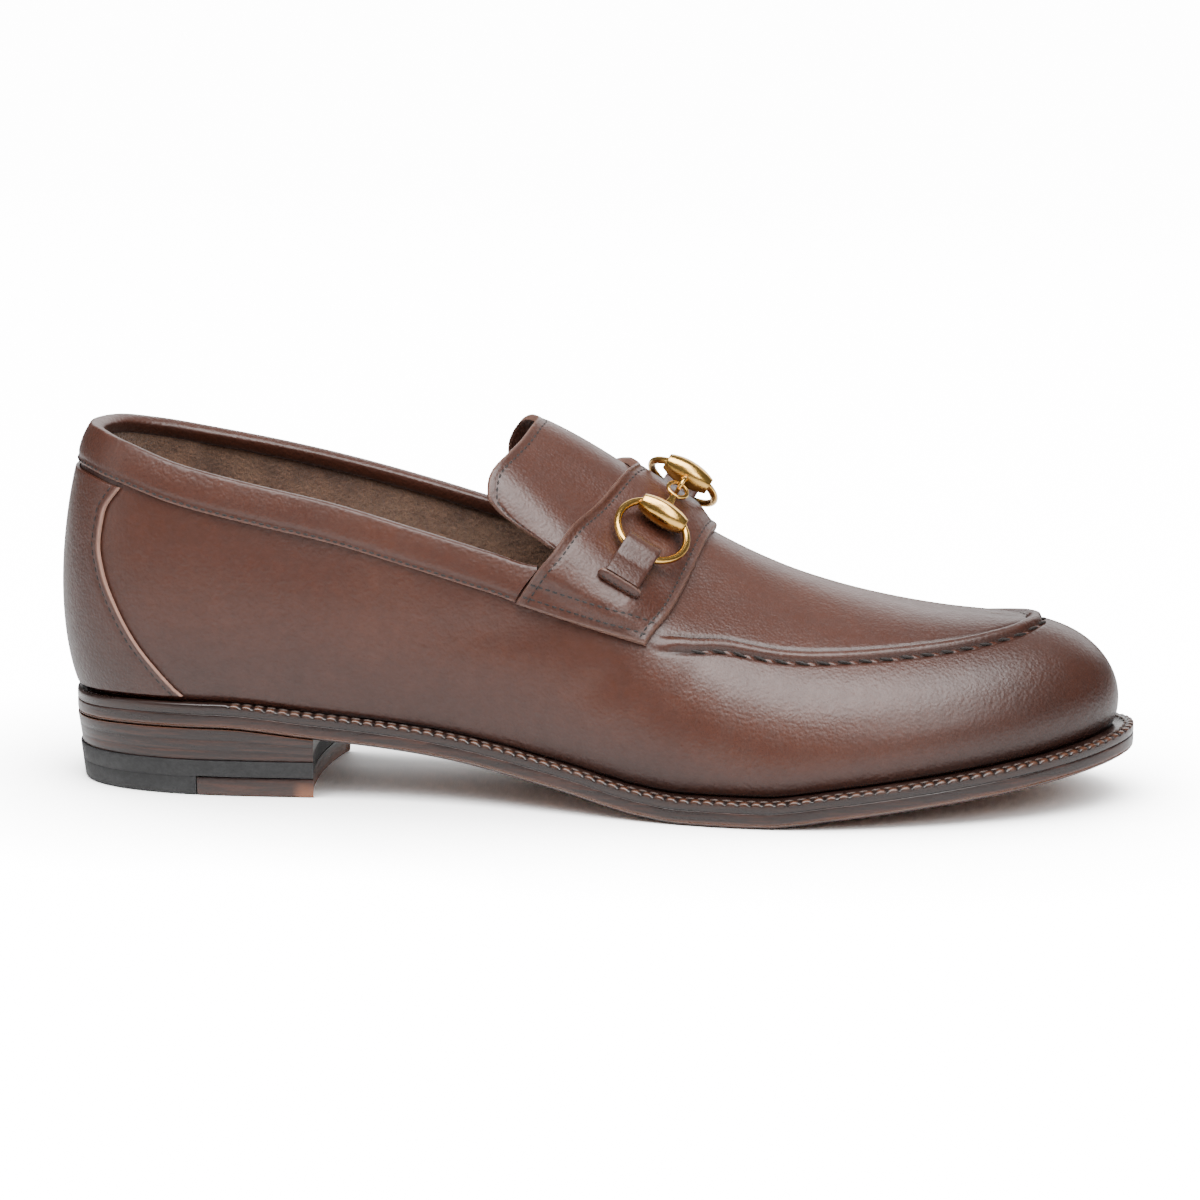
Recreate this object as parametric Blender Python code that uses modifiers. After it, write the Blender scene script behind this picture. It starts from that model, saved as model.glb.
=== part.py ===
"""A bit loafer, the right shoe of a pair, built in Blender as an assembly of separate solids.

Run it with blender --background --python part.py, or from Blender's text editor. Units are metres.
+X points to the toe, +Y to the inner side of the foot and +Z up. The origin lies on the heel's
tread, and heel and forefoot both stand on the plane z = 0.
"""

import math

import bmesh
import bpy
import numpy as np
from mathutils import Matrix

# Driving dimensions of the last and the bottom
OUTSOLE_LENGTH = 0.300
BALL_WIDTH = 0.104
INSTEP_HEIGHT = 0.1065
BACK_HEIGHT = 0.100
HEEL_HEIGHT = 0.0168
TOE_SPRING = 0.0135
BREAST_REACH = 0.0735
BREAST_HOLLOW = 0.0035

# Thicknesses and clearances
FIT_GAP = 0.0003
OUTSOLE_THICKNESS = 0.0042
WELT_THICKNESS = 0.0027
INSOLE_THICKNESS = 0.0040
UPPER_WALL = 0.0020
COUNTER_THICKNESS = 0.0011
BAND_THICKNESS = 0.0010
TONGUE_SEAT = 0.0007
TONGUE_THICKNESS = 0.0019
STRAP_THICKNESS = 0.0020

# Bottom details
FOREPART_MARGIN = 0.0060
HEEL_MARGIN = 0.0026
WELT_SEAT = 0.0026
SOLE_BEVEL = 0.0009
EDGE_GROOVE = 0.0004
TOP_PIECE_HEIGHT = 0.0052
RUBBER_HEIGHT = 0.0100
HEEL_TAPER = 0.0012
LEATHER_TIP_REACH = 0.0400
HEEL_REST_REACH = 0.0210

# Details of the upper
SEAM_HEIGHT = 0.0014
SEAM_WIDTH = 0.0042
BAND_HEIGHT = 0.0098
BAND_LIP = 0.0035
STRAP_REAR_CORNER = 0.057
STRAP_FRONT_CORNER = 0.047
BELLY_PEAK = 0.7

# The bit, whose two halves hook into each other over the crown of the strap. Values in braces are
# for the outer half, side -1, and the inner half, side 1; a tilt is the way down from the link.
BIT_REACH = 0.1685
LINK_HEIGHT = 0.0024
LINK_ACROSS = 0.0080
RING_TILT = {-1: math.radians(34.0), 1: math.radians(31.0)}
TANG_TILT = {-1: math.radians(26.0), 1: math.radians(-21.0)}
TANG_LENGTH = {-1: 0.0055, 1: 0.0004}
RING_RADIUS = 0.0102
RING_WIRE = 0.00105
BARREL_LENGTH = 0.0140
BARREL_RADIUS = 0.00375
BARREL_END_RADIUS = 0.00225
BARREL_OFFSET = 0.0078
TANG_ROOT = 0.0017
TANG_TIP = 0.0007
TANG_FLATNESS = 0.36
EYE_WIRE = 0.0006
OUTER_EYE_RADIUS = 0.00285
INNER_EYE_RADIUS = 0.00245
LINK_OVERLAP = 0.0014
KEEPER_WIDTH = 0.0105
KEEPER_LEATHER = 0.0015
KEEPER_TAIL = 0.0125

# Numbers of facets
COLUMNS_PER_STATION = 3
RING_SEGMENTS = 28
WIRE_SIDES = 6
EYE_SEGMENTS = 14
EYE_SIDES = 6
BARREL_STEPS = 7
BARREL_SEGMENTS = 16
KEEPER_STEPS = 12
HEEL_COLUMNS = 16
BREAST_FACETS = 180
COUNTER_ROWS = 9
COUNTER_COLUMNS = 19
BAND_COLUMNS = 39
BAND_END_ROUNDS = 4
TONGUE_ROWS = 9
TONGUE_COLUMNS = 8
STRAP_ROWS = 12
STRAP_COLUMNS = 9
GIRTH_SAMPLES = 129
SMALLEST_MERGE = 0.00001

# Stations round the last, a row each from the back of the heel to the tip of the toe. Columns:
# reach, place along OUTSOLE_LENGTH; outer and inner, half widths of the outsole as shares of
# BALL_WIDTH; extension, from 0 at the heel's margin to 1 at the forepart's; spine reach, across and
# height, the top line of the last as shares of OUTSOLE_LENGTH, BALL_WIDTH and INSTEP_HEIGHT; belly,
# the swell of the side as a share of BALL_WIDTH; wall and crown, how upright the side and how round
# the top; ridge outer and inner, how far each shoulder falls below that round, as a share of the
# height, for the peaked instep.
REACH, OUTER, INNER, EXTENSION, SPINE_REACH, SPINE_ACROSS, SPINE_HEIGHT = range(7)
BELLY, WALL, CROWN, RIDGE_OUTER, RIDGE_INNER = range(7, 12)
STATIONS = np.array((
    (0.000, 0.000, 0.000, 0.0, 0.087, 0.000, 0.995, 0.047, 0.25, 0.70, 0.000, 0.000),
    (0.014, 0.160, 0.160, 0.0, 0.093, 0.000, 0.995, 0.045, 0.25, 0.70, 0.000, 0.000),
    (0.055, 0.262, 0.262, 0.0, 0.113, 0.000, 0.995, 0.040, 0.26, 0.70, 0.000, 0.000),
    (0.115, 0.312, 0.308, 0.0, 0.153, 0.000, 0.995, 0.031, 0.28, 0.72, 0.000, 0.000),
    (0.185, 0.320, 0.306, 0.0, 0.207, 0.000, 0.995, 0.024, 0.30, 0.72, 0.000, 0.000),
    (0.260, 0.312, 0.276, 0.1, 0.267, 0.000, 0.995, 0.020, 0.32, 0.74, 0.020, 0.000),
    (0.335, 0.318, 0.246, 0.2, 0.337, 0.010, 0.992, 0.020, 0.42, 0.78, 0.030, 0.000),
    (0.410, 0.350, 0.244, 0.4, 0.410, 0.035, 0.970, 0.024, 0.58, 0.82, 0.055, 0.000),
    (0.485, 0.405, 0.290, 0.6, 0.485, 0.065, 0.874, 0.028, 0.72, 0.86, 0.105, 0.020),
    (0.560, 0.462, 0.374, 0.8, 0.560, 0.080, 0.738, 0.032, 0.82, 0.94, 0.130, 0.040),
    (0.635, 0.500, 0.452, 1.0, 0.633, 0.085, 0.622, 0.034, 0.92, 1.08, 0.080, 0.030),
    (0.710, 0.500, 0.494, 1.0, 0.703, 0.075, 0.548, 0.034, 1.00, 1.10, 0.040, 0.015),
    (0.785, 0.458, 0.480, 1.0, 0.763, 0.060, 0.507, 0.032, 1.00, 1.00, 0.015, 0.005),
    (0.860, 0.382, 0.420, 1.0, 0.813, 0.048, 0.484, 0.028, 0.95, 0.90, 0.000, 0.000),
    (0.930, 0.268, 0.320, 1.0, 0.847, 0.040, 0.476, 0.024, 0.87, 0.80, 0.000, 0.000),
    (0.981, 0.122, 0.190, 1.0, 0.867, 0.036, 0.470, 0.021, 0.80, 0.75, 0.000, 0.000),
    (1.000, -0.035, 0.035, 1.0, 0.873, 0.035, 0.468, 0.020, 0.80, 0.75, 0.000, 0.000),
))
LAST_STATION = len(STATIONS) - 1
RING_PLACES = 2 * LAST_STATION

# What the spine's heights are shares of, so that the last's top behind the instep follows the back.
# Columns: station, share of INSTEP_HEIGHT, share of BACK_HEIGHT.
SPINE_RULE = np.array((
    (0.0, 0.000, 1.065),
    (5.0, 0.000, 1.065),
    (8.0, 1.000, 0.000),
    (16.0, 1.000, 0.000),
))

# The tread's height under the edge. Columns: reach, share of HEEL_HEIGHT, share of TOE_SPRING.
TREAD = np.array((
    (0.000, 1.090, 0.000),
    (0.080, 1.135, 0.000),
    (0.155, 1.140, 0.000),
    (0.240, 1.000, 0.000),
    (0.360, 0.770, 0.000),
    (0.477, 0.380, 0.000),
    (0.555, 0.075, 0.000),
    (0.595, 0.000, 0.000),
    (0.665, 0.000, 0.000),
    (0.735, 0.000, 0.170),
    (0.790, 0.000, 0.310),
    (0.893, 0.000, 0.600),
    (0.957, 0.000, 0.820),
    (1.000, 0.000, 1.000),
))

# The topline of the upper. Columns: station, heights on the outer and inner side as shares of
# BACK_HEIGHT. Past the last row the upper closes over the foot.
TOPLINE = np.array((
    (0.0, 1.000, 1.000),
    (1.0, 0.997, 0.994),
    (2.0, 0.970, 0.972),
    (3.0, 0.918, 0.938),
    (4.0, 0.870, 0.902),
    (5.0, 0.820, 0.860),
    (6.0, 0.757, 0.808),
    (7.0, 0.696, 0.745),
    (7.6, 0.663, 0.710),
    (8.0, 0.690, 0.725),
    (8.3, 0.780, 0.790),
    (8.6, 0.905, 0.905),
))

# The raised seam of the apron. Columns: station, share of the way up the girth, share of
# SEAM_HEIGHT. Behind the strap its row runs on in the plain wall.
APRON_SEAM = np.array((
    (0.0, 0.55, 0.0),
    (8.0, 0.44, 0.0),
    (9.0, 0.40, 0.0),
    (9.4, 0.45, 1.0),
    (10.0, 0.52, 1.0),
    (11.0, 0.54, 1.0),
    (12.0, 0.57, 1.0),
    (13.0, 0.62, 1.0),
    (14.0, 0.70, 1.0),
    (15.0, 0.81, 1.0),
    (16.0, 0.86, 1.0),
))

# The front edge of the counter. Columns: share of the way up from the welt to the collar band,
# station.
COUNTER_EDGE = np.array((
    (0.00, 3.10),
    (0.12, 2.80),
    (0.28, 2.42),
    (0.44, 2.12),
    (0.58, 1.90),
    (0.72, 1.78),
    (0.86, 1.82),
    (1.00, 2.08),
))

# The edges of the tongue. Columns: share of the girth, rear reach, front reach.
TONGUE_EDGES = np.array((
    (0.480, 0.462, 0.492),
    (0.492, 0.434, 0.498),
    (0.512, 0.416, 0.506),
    (0.550, 0.405, 0.515),
    (0.610, 0.404, 0.526),
    (0.800, 0.416, 0.538),
    (1.000, 0.436, 0.548),
))

# The edges of the saddle strap. Columns: share of the way from its lower end to the crown, rear
# reach, front reach.
STRAP_EDGES = np.array((
    (0.00, 0.436, 0.556),
    (0.22, 0.467, 0.574),
    (0.45, 0.480, 0.583),
    (0.66, 0.493, 0.592),
    (1.00, 0.522, 0.606),
))

# Where the strap steps up over the tongue. Rows: up the girth, from the strap's rear to its front
# edge. Columns: share where the step starts, share that it takes, negative for a step down.
TONGUE_STEP = (
    (0.32, 0.08),
    (0.98, -0.30),
)

# Rows of points in the upper: shares of the way up to the apron's seam, and from the seam to the
# topline or the spine.
SIDE_ROWS = (0.0, 0.10, 0.24, 0.42, 0.62, 0.82)
ROOF_ROWS = (0.30, 0.64, 1.0)


def smooth_table(table, column, places):
    """Value of a table's column at places, by cubics that never overshoot the rows."""
    rows = table[:, 0]
    values = table[:, column]
    widths = np.diff(rows)
    slopes = np.diff(values) / widths
    tangents = np.zeros(len(rows))
    before = slopes[:-1]
    after = slopes[1:]
    same_way = before * after > 0
    total = np.where(same_way, before + after, 1.0)
    tangents[1:-1] = np.where(same_way, 2 * before * after / total, 0.0)
    tangents[0] = slopes[0]
    tangents[-1] = slopes[-1]
    inside = np.clip(places, rows[0], rows[-1])
    row = np.clip(np.searchsorted(rows, inside, side="right") - 1, 0, len(widths) - 1)
    step = widths[row]
    part = (inside - rows[row]) / step
    rest = 1 - part
    ends = values[row] * (1 + 2 * part) * rest ** 2 + values[row + 1] * (3 - 2 * part) * part ** 2
    return ends + step * (tangents[row] * part * rest ** 2 - tangents[row + 1] * part ** 2 * rest)


def ring_values(outer_column, inner_column):
    """Values of two columns of STATIONS in one ring, up the outer side and back down the inner."""
    outer = STATIONS[:, outer_column]
    inner = STATIONS[:, inner_column]
    return np.concatenate((outer, inner[-2:0:-1]))


def ring_spline(values, places):
    """Smooth closed curve through values at whole places, read at any places."""
    count = len(values)
    unit = np.eye(count)
    system = 4 * unit + np.roll(unit, 1, axis=0) + np.roll(unit, -1, axis=0)
    bends = np.linalg.solve(system, 6 * (np.roll(values, -1) - 2 * values + np.roll(values, 1)))
    low = np.floor(places).astype(int)
    part = places - low
    rest = 1 - part
    low = low % count
    high = (low + 1) % count
    line = values[low] * rest + values[high] * part
    return line + ((rest ** 3 - rest) * bends[low] + (part ** 3 - part) * bends[high]) / 6


def side_of(places):
    """Station of each place on the ring, and whether it lies on the inner side."""
    wrapped = np.mod(places, RING_PLACES)
    inner_side = wrapped > LAST_STATION
    return np.where(inner_side, RING_PLACES - wrapped, wrapped), inner_side


def station_at(reach):
    """Station whose reach is the given share of the length."""
    return np.interp(reach, STATIONS[:, REACH], np.arange(len(STATIONS)))


def outline(places, inset):
    """Plan points of the outsole's edge, moved inwards by an inset, and their outward normals."""
    reach = ring_values(REACH, REACH) * OUTSOLE_LENGTH
    across = np.concatenate((-STATIONS[:, OUTER], STATIONS[-2:0:-1, INNER])) * BALL_WIDTH
    points = np.stack((ring_spline(reach, places), ring_spline(across, places)), axis=-1)
    nearby = 0.01
    ahead = np.stack((ring_spline(reach, places + nearby), ring_spline(across, places + nearby)), axis=-1)
    along = ahead - points
    normals = np.stack((along[..., 1], -along[..., 0]), axis=-1)
    normals /= np.linalg.norm(normals, axis=-1, keepdims=True)
    return points - normals * np.asarray(inset)[..., None], normals


def feather(places):
    """Plan points of the feather edge, where upper and welt meet, and their outward normals."""
    extension = ring_spline(ring_values(EXTENSION, EXTENSION), places)
    margin = HEEL_MARGIN + (FOREPART_MARGIN - HEEL_MARGIN) * extension
    return outline(places, margin)


def tread_height(x):
    """Height of the outsole's underside at x."""
    reach = x / OUTSOLE_LENGTH
    heel = smooth_table(TREAD, 1, reach) * HEEL_HEIGHT
    return heel + smooth_table(TREAD, 2, reach) * TOE_SPRING


def seat_height(x):
    """Height of the welt's upper face at x."""
    return tread_height(x) + OUTSOLE_THICKNESS + FIT_GAP + WELT_THICKNESS


def last_frame(places):
    """Feather edge, outward normals, spine and height of the feather edge at each place."""
    edge, outward = feather(places)
    reach = ring_spline(ring_values(SPINE_REACH, SPINE_REACH), places) * OUTSOLE_LENGTH
    drift = ring_spline(ring_values(SPINE_ACROSS, SPINE_ACROSS), places) * BALL_WIDTH
    station = side_of(places)[0]
    rule = smooth_table(SPINE_RULE, 1, station) * INSTEP_HEIGHT
    rule = rule + smooth_table(SPINE_RULE, 2, station) * BACK_HEIGHT
    height = ring_spline(ring_values(SPINE_HEIGHT, SPINE_HEIGHT), places) * rule
    spine = np.stack((reach, drift, height), axis=-1)
    return edge, outward, spine, seat_height(edge[..., 0]) + FIT_GAP


def last_point(places, girth):
    """Points of the last at places round its edge and shares of the girth up to its spine."""
    edge, outward, spine, base = last_frame(places)
    wall = ring_spline(ring_values(WALL, WALL), places)
    crown = ring_spline(ring_values(CROWN, CROWN), places)
    belly = ring_spline(ring_values(BELLY, BELLY), places) * BALL_WIDTH
    ridge = ring_spline(ring_values(RIDGE_OUTER, RIDGE_INNER), places)
    outward_share = np.sin((1 - girth) * math.pi / 2) ** wall
    rise = np.sin(girth * math.pi / 2) ** crown
    swell = belly * np.sin(math.pi * rise ** BELLY_PEAK)
    plan = spine[..., :2] + (edge - spine[..., :2]) * outward_share[..., None]
    plan = plan + outward * swell[..., None]
    fall = ridge * np.sin(math.pi * outward_share) ** 2
    height = base + (spine[..., 2] - base) * (rise - fall)
    return np.concatenate((plan, height[..., None]), axis=-1)


def girth_at_height(places, height):
    """Share of the girth at which the last reaches a height."""
    samples = np.linspace(0, 1, GIRTH_SAMPLES)
    around = np.repeat(np.asarray(places)[..., None], GIRTH_SAMPLES, axis=-1)
    heights = last_point(around, np.broadcast_to(samples, around.shape))[..., 2]
    below = np.sum(heights < np.asarray(height)[..., None], axis=-1)
    upper = np.clip(below, 1, GIRTH_SAMPLES - 1)[..., None]
    low = np.take_along_axis(heights, upper - 1, axis=-1)[..., 0]
    high = np.take_along_axis(heights, upper, axis=-1)[..., 0]
    part = np.clip((height - low) / (high - low), 0, 1)
    return (upper[..., 0] - 1 + part) / (GIRTH_SAMPLES - 1)


def topline_height(places):
    """Height of the topline at each place."""
    station, inner_side = side_of(places)
    outer = smooth_table(TOPLINE, 1, station)
    inner = smooth_table(TOPLINE, 2, station)
    return np.where(inner_side, inner, outer) * BACK_HEIGHT


def topline_girth(places):
    """Share of the girth at which the upper ends, 1 where it closes over the foot."""
    station = side_of(places)[0]
    girth = girth_at_height(places, topline_height(places))
    return np.where(station > TOPLINE[-1, 0], 1.0, girth)


def grid_normals(points):
    """Outward unit normals of a grid whose rows run round the last and columns up its girth."""
    along = np.gradient(points, axis=0)
    up = np.gradient(points, axis=1)
    normals = np.cross(along, up)
    return normals / np.linalg.norm(normals, axis=-1, keepdims=True)


def patch(places, girth, offset):
    """Grid of points at an offset outside the last."""
    points = last_point(places, girth)
    return points + grid_normals(points) * np.asarray(offset)[..., None]


def clear_scene():
    """Remove every object of the scene."""
    for item in list(bpy.data.objects):
        bpy.data.objects.remove(item)


def make_collection(name):
    """New collection in the scene."""
    collection = bpy.data.collections.new(name)
    bpy.context.scene.collection.children.link(collection)
    return collection


def make_material(name, colour, roughness, metallic=0.0):
    """Plain Principled material."""
    material = bpy.data.materials.new(name)
    material.use_nodes = True
    shader = material.node_tree.nodes["Principled BSDF"]
    shader.inputs["Base Color"].default_value = (*colour, 1.0)
    shader.inputs["Roughness"].default_value = roughness
    shader.inputs["Metallic"].default_value = metallic
    return material


def place_in(collection, item):
    """Link an object to one collection only."""
    for owner in list(item.users_collection):
        owner.objects.unlink(item)
    collection.objects.link(item)


def add_object(name, points, faces, material, collection):
    """Mesh object from points and faces, doubles merged, smooth with sharp edges."""
    mesh = bpy.data.meshes.new(name)
    moved = np.asarray(points, dtype=float) - np.array((HEEL_REST_REACH, 0.0, 0.0))
    mesh.from_pydata(moved.tolist(), [], faces)
    work = bmesh.new()
    work.from_mesh(mesh)
    bmesh.ops.remove_doubles(work, verts=work.verts, dist=SMALLEST_MERGE)
    bmesh.ops.dissolve_degenerate(work, edges=work.edges, dist=SMALLEST_MERGE)
    work.to_mesh(mesh)
    work.free()
    mesh.shade_smooth()
    mesh.set_sharp_from_angle(angle=math.radians(40))
    item = bpy.data.objects.new(name, mesh)
    item.data.materials.append(material)
    collection.objects.link(item)
    return item


def grid_faces(rows, columns, closed):
    """Quads of a grid of points stored row by row, its last row joined to the first if closed."""
    faces = []
    for row in range(rows if closed else rows - 1):
        following = (row + 1) % rows
        for column in range(columns - 1):
            start = row * columns + column
            across = following * columns + column
            faces.append((start, across, across + 1, start + 1))
    return faces


def add_sheet(name, points, thickness, offset, material, collection, closed=False):
    """Solid sheet: an open surface given a wall by Solidify, outwards for offset 1, inwards for -1."""
    rows, columns = points.shape[:2]
    faces = grid_faces(rows, columns, closed)
    item = add_object(name, points.reshape(-1, 3), faces, material, collection)
    wall = item.modifiers.new("Wall", "SOLIDIFY")
    wall.thickness = thickness
    wall.offset = offset
    wall.use_even_offset = True
    wall.use_quality_normals = True
    return item


def ring_places():
    """Places of all columns round the last."""
    return np.arange(RING_PLACES * COLUMNS_PER_STATION) / COLUMNS_PER_STATION


def level(places, inset, height):
    """Closed loop of points at an inset from the outsole's edge, its height a function of x."""
    plan, _ = outline(places, inset)
    return np.column_stack((plan, height(plan[:, 0])))


def strip_faces(count, start, upward):
    """Faces across a closed loop of points, from its outer half to its inner half."""
    faces = []
    for here in range((count + 1) // 2):
        corners = (here, here + 1, (count - here - 1) % count, (count - here) % count)
        face = [start + corner for corner in dict.fromkeys(corners)]
        if len(face) > 2:
            faces.append(tuple(face) if upward else tuple(face[::-1]))
    return faces


def add_layer(name, loops, material, collection):
    """Solid between closed loops from the lowest to the highest, capped by strips across."""
    count = len(loops[0])
    faces = []
    for lower in range(len(loops) - 1):
        for here in range(count):
            after = (here + 1) % count
            base = lower * count
            faces.append((base + here, base + after, base + count + after, base + count + here))
    faces += strip_faces(count, 0, False)
    faces += strip_faces(count, (len(loops) - 1) * count, True)
    return add_object(name, np.concatenate(loops), faces, material, collection)


def add_ring(name, loops, material, collection):
    """Ring-shaped solid from closed loops that follow each other round its section."""
    points = np.stack(loops + [loops[0]], axis=1)
    rows, columns = points.shape[:2]
    faces = grid_faces(rows, columns, True)
    return add_object(name, points.reshape(-1, 3), faces, material, collection)


def cut(item, tool, operation="DIFFERENCE"):
    """Boolean modifier on an object."""
    step = item.modifiers.new(operation.title(), "BOOLEAN")
    step.operation = operation
    step.object = tool
    step.solver = "EXACT"


def hide_tool(item, tools):
    """Keep a cutter or helper out of the part."""
    place_in(tools, item)
    item.hide_render = True
    item.display_type = "WIRE"


def build_outsole(material, collection):
    """Outsole with a bevelled tread edge and a groove under the welt."""
    places = ring_places()
    loops = [
        level(places, SOLE_BEVEL, tread_height),
        level(places, 0.0, lambda x: tread_height(x) + SOLE_BEVEL),
        level(places, 0.0, lambda x: tread_height(x) + OUTSOLE_THICKNESS - EDGE_GROOVE),
        level(places, EDGE_GROOVE, lambda x: tread_height(x) + OUTSOLE_THICKNESS),
    ]
    return add_layer("outsole", loops, material, collection)


def build_welt(material, collection):
    """Welt: a flat ring on the outsole, from its edge to just inside the feather edge."""
    places = ring_places()
    extension = ring_spline(ring_values(EXTENSION, EXTENSION), places)
    seat = HEEL_MARGIN + (FOREPART_MARGIN - HEEL_MARGIN) * extension + WELT_SEAT

    def low(x):
        return tread_height(x) + OUTSOLE_THICKNESS + FIT_GAP

    loops = [
        level(places, seat, low),
        level(places, EDGE_GROOVE, low),
        level(places, 0.0, lambda x: low(x) + EDGE_GROOVE),
        level(places, 0.0, lambda x: seat_height(x) - EDGE_GROOVE),
        level(places, EDGE_GROOVE, seat_height),
        level(places, seat, seat_height),
    ]
    return add_ring("welt", loops, material, collection)


def build_insole(material, collection):
    """Insole inside the welt's ring, lying on the outsole."""
    places = ring_places()
    extension = ring_spline(ring_values(EXTENSION, EXTENSION), places)
    margin = HEEL_MARGIN + (FOREPART_MARGIN - HEEL_MARGIN) * extension
    edge = margin + WELT_SEAT + FIT_GAP

    def low(x):
        return tread_height(x) + OUTSOLE_THICKNESS + FIT_GAP

    loops = [level(places, edge, low), level(places, edge, lambda x: low(x) + INSOLE_THICKNESS)]
    return add_layer("insole", loops, material, collection)


def heel_block(name, low, high, inset, material, collection):
    """Block of the heel's outline from the back to just past the breast, between two heights."""
    front = station_at((BREAST_REACH + BREAST_HOLLOW) / OUTSOLE_LENGTH)
    half = np.linspace(0, front, HEEL_COLUMNS)
    places = np.concatenate((half, RING_PLACES - half[::-1]))[:-1]
    loops = []
    for share, height in ((1.0, low), (0.0, high)):
        plan, _ = outline(places, inset + HEEL_TAPER * share)
        loops.append(np.column_stack((plan, height(plan[:, 0]))))
    return add_layer(name, loops, material, collection)


def build_heel(stack_material, rubber_material, tip_material, collection, tools):
    """Stacked leather heel, rubber lift and top piece, and the leather tip at the breast."""
    half_width = STATIONS[3, OUTER] * BALL_WIDTH
    radius = (half_width ** 2 + BREAST_HOLLOW ** 2) / (2 * BREAST_HOLLOW)
    depth = HEEL_HEIGHT * 4
    bpy.ops.mesh.primitive_cylinder_add(vertices=BREAST_FACETS, radius=radius, depth=depth)
    breast = bpy.context.object
    breast.name = "breast_cutter"
    breast.location.x = BREAST_REACH - BREAST_HOLLOW + radius - HEEL_REST_REACH
    hide_tool(breast, tools)

    def rubber_top(x):
        return np.full_like(x, RUBBER_HEIGHT)

    def stack_low(x):
        return np.full_like(x, RUBBER_HEIGHT + FIT_GAP)

    def stack_top(x):
        return tread_height(x) - FIT_GAP

    def floor(x):
        return np.zeros_like(x)

    def tip_top(x):
        return np.full_like(x, TOP_PIECE_HEIGHT)

    taper = HEEL_TAPER / 2
    stack = heel_block("heel_stack", stack_low, stack_top, 0.0, stack_material, collection)
    rubber = heel_block("heel_rubber", floor, rubber_top, taper, rubber_material, collection)
    tip = heel_block("heel_leather_tip", floor, tip_top, taper, tip_material, collection)
    for name, gap, block, operation in (
        ("rubber_recess", 0.0, rubber, "DIFFERENCE"),
        ("tip_limit", FIT_GAP, tip, "INTERSECT"),
    ):
        bpy.ops.mesh.primitive_cube_add(size=1.0)
        tool = bpy.context.object
        tool.name = name
        rear = LEATHER_TIP_REACH + gap
        front = OUTSOLE_LENGTH / 2
        top = TOP_PIECE_HEIGHT + FIT_GAP
        low = -HEEL_HEIGHT
        tool.scale = (front - rear, BALL_WIDTH, top - low)
        tool.location = ((rear + front) / 2 - HEEL_REST_REACH, 0.0, (top + low) / 2)
        hide_tool(tool, tools)
        cut(block, tool, operation)
    for block in (stack, rubber, tip):
        cut(block, breast)


def build_upper(material, collection):
    """Upper: one hollow wall over the last with the apron's raised seam, open at top and bottom."""
    places = ring_places()
    station = side_of(places)[0]
    top = topline_girth(places)
    seam = smooth_table(APRON_SEAM, 1, station) * top
    lift = smooth_table(APRON_SEAM, 2, station) * SEAM_HEIGHT
    nearby = 0.02
    length = np.linalg.norm(last_point(places, seam + nearby) - last_point(places, seam), axis=-1)
    half_seam = nearby * SEAM_WIDTH / 2 / length
    shares = [(seam - half_seam) * share for share in SIDE_ROWS]
    shares += [seam - half_seam, seam, seam + half_seam]
    shares += [seam + half_seam + (top - seam - half_seam) * share for share in ROOF_ROWS]
    girth = np.stack(shares, axis=1)
    around = np.repeat(places[:, None], girth.shape[1], axis=1)
    points = last_point(around, girth)
    wrapped = np.concatenate((points[-1:], points, points[:1]))
    normals = grid_normals(wrapped)[1:-1]
    seam_row = len(SIDE_ROWS) + 1
    points[:, seam_row] += normals[:, seam_row] * lift[:, None]
    return add_sheet("upper", points, UPPER_WALL, -1, material, collection, closed=True)


def build_counter(material, collection):
    """Counter: an overlay round the back of the heel, with a curved front edge."""
    heights = np.linspace(0, 1, COUNTER_ROWS)
    edge = smooth_table(COUNTER_EDGE, 1, heights)
    around = np.linspace(-1, 1, COUNTER_COLUMNS)[:, None] * edge[None, :]
    base = last_frame(around)[3] + COUNTER_THICKNESS
    upper_end = topline_height(around) - BAND_HEIGHT - FIT_GAP - BAND_THICKNESS
    height = base + (upper_end - base) * heights[None, :]
    points = patch(around, girth_at_height(around, height), FIT_GAP)
    return add_sheet("counter", points, COUNTER_THICKNESS, 1, material, collection)


def band_ends(drop, side):
    """Stations where the collar band stops at the strap's rear edge, at drops below the topline."""
    clearance = 2 * FIT_GAP / (OUTSOLE_LENGTH * np.diff(STATIONS[7:9, REACH])[0])
    ends = np.full(len(drop), station_at(STRAP_EDGES[0, 1]))
    for _ in range(BAND_END_ROUNDS):
        places = ends * side
        girth = girth_at_height(places, topline_height(places) - drop)
        corner = girth_at_height(places, np.full(len(drop), STRAP_REAR_CORNER))
        climb = (girth - corner) / (1 - corner)
        ends = station_at(smooth_table(STRAP_EDGES, 1, climb)) - clearance
    return ends[None, :]


def build_collar_band(material, collection):
    """Collar band: it lies on the upper, rolls over the topline and ends inside."""
    drop = np.array((1.0, 0.5, 0.0)) * BAND_HEIGHT
    share = np.linspace(-1, 1, BAND_COLUMNS)[:, None]
    around = np.where(share < 0, share * band_ends(drop, -1), share * band_ends(drop, 1))
    top = topline_height(around)
    outside = last_point(around, girth_at_height(around, top - drop[None, :]))
    normals = grid_normals(outside)
    outside = outside + normals * FIT_GAP
    rim = outside[:, 2]
    normal = normals[:, 2]
    climb = outside[:, 2] - outside[:, 1]
    climb /= np.linalg.norm(climb, axis=-1, keepdims=True)
    rim_outer = rim + climb * FIT_GAP
    rim_inner = rim_outer - normal * (UPPER_WALL + 2 * FIT_GAP)
    lip = rim_inner - climb * (BAND_LIP + FIT_GAP)
    points = np.stack((outside[:, 0], outside[:, 1], rim_outer, rim_inner, lip), axis=1)
    return add_sheet("collar_band", points, BAND_THICKNESS, 1, material, collection)


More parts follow.
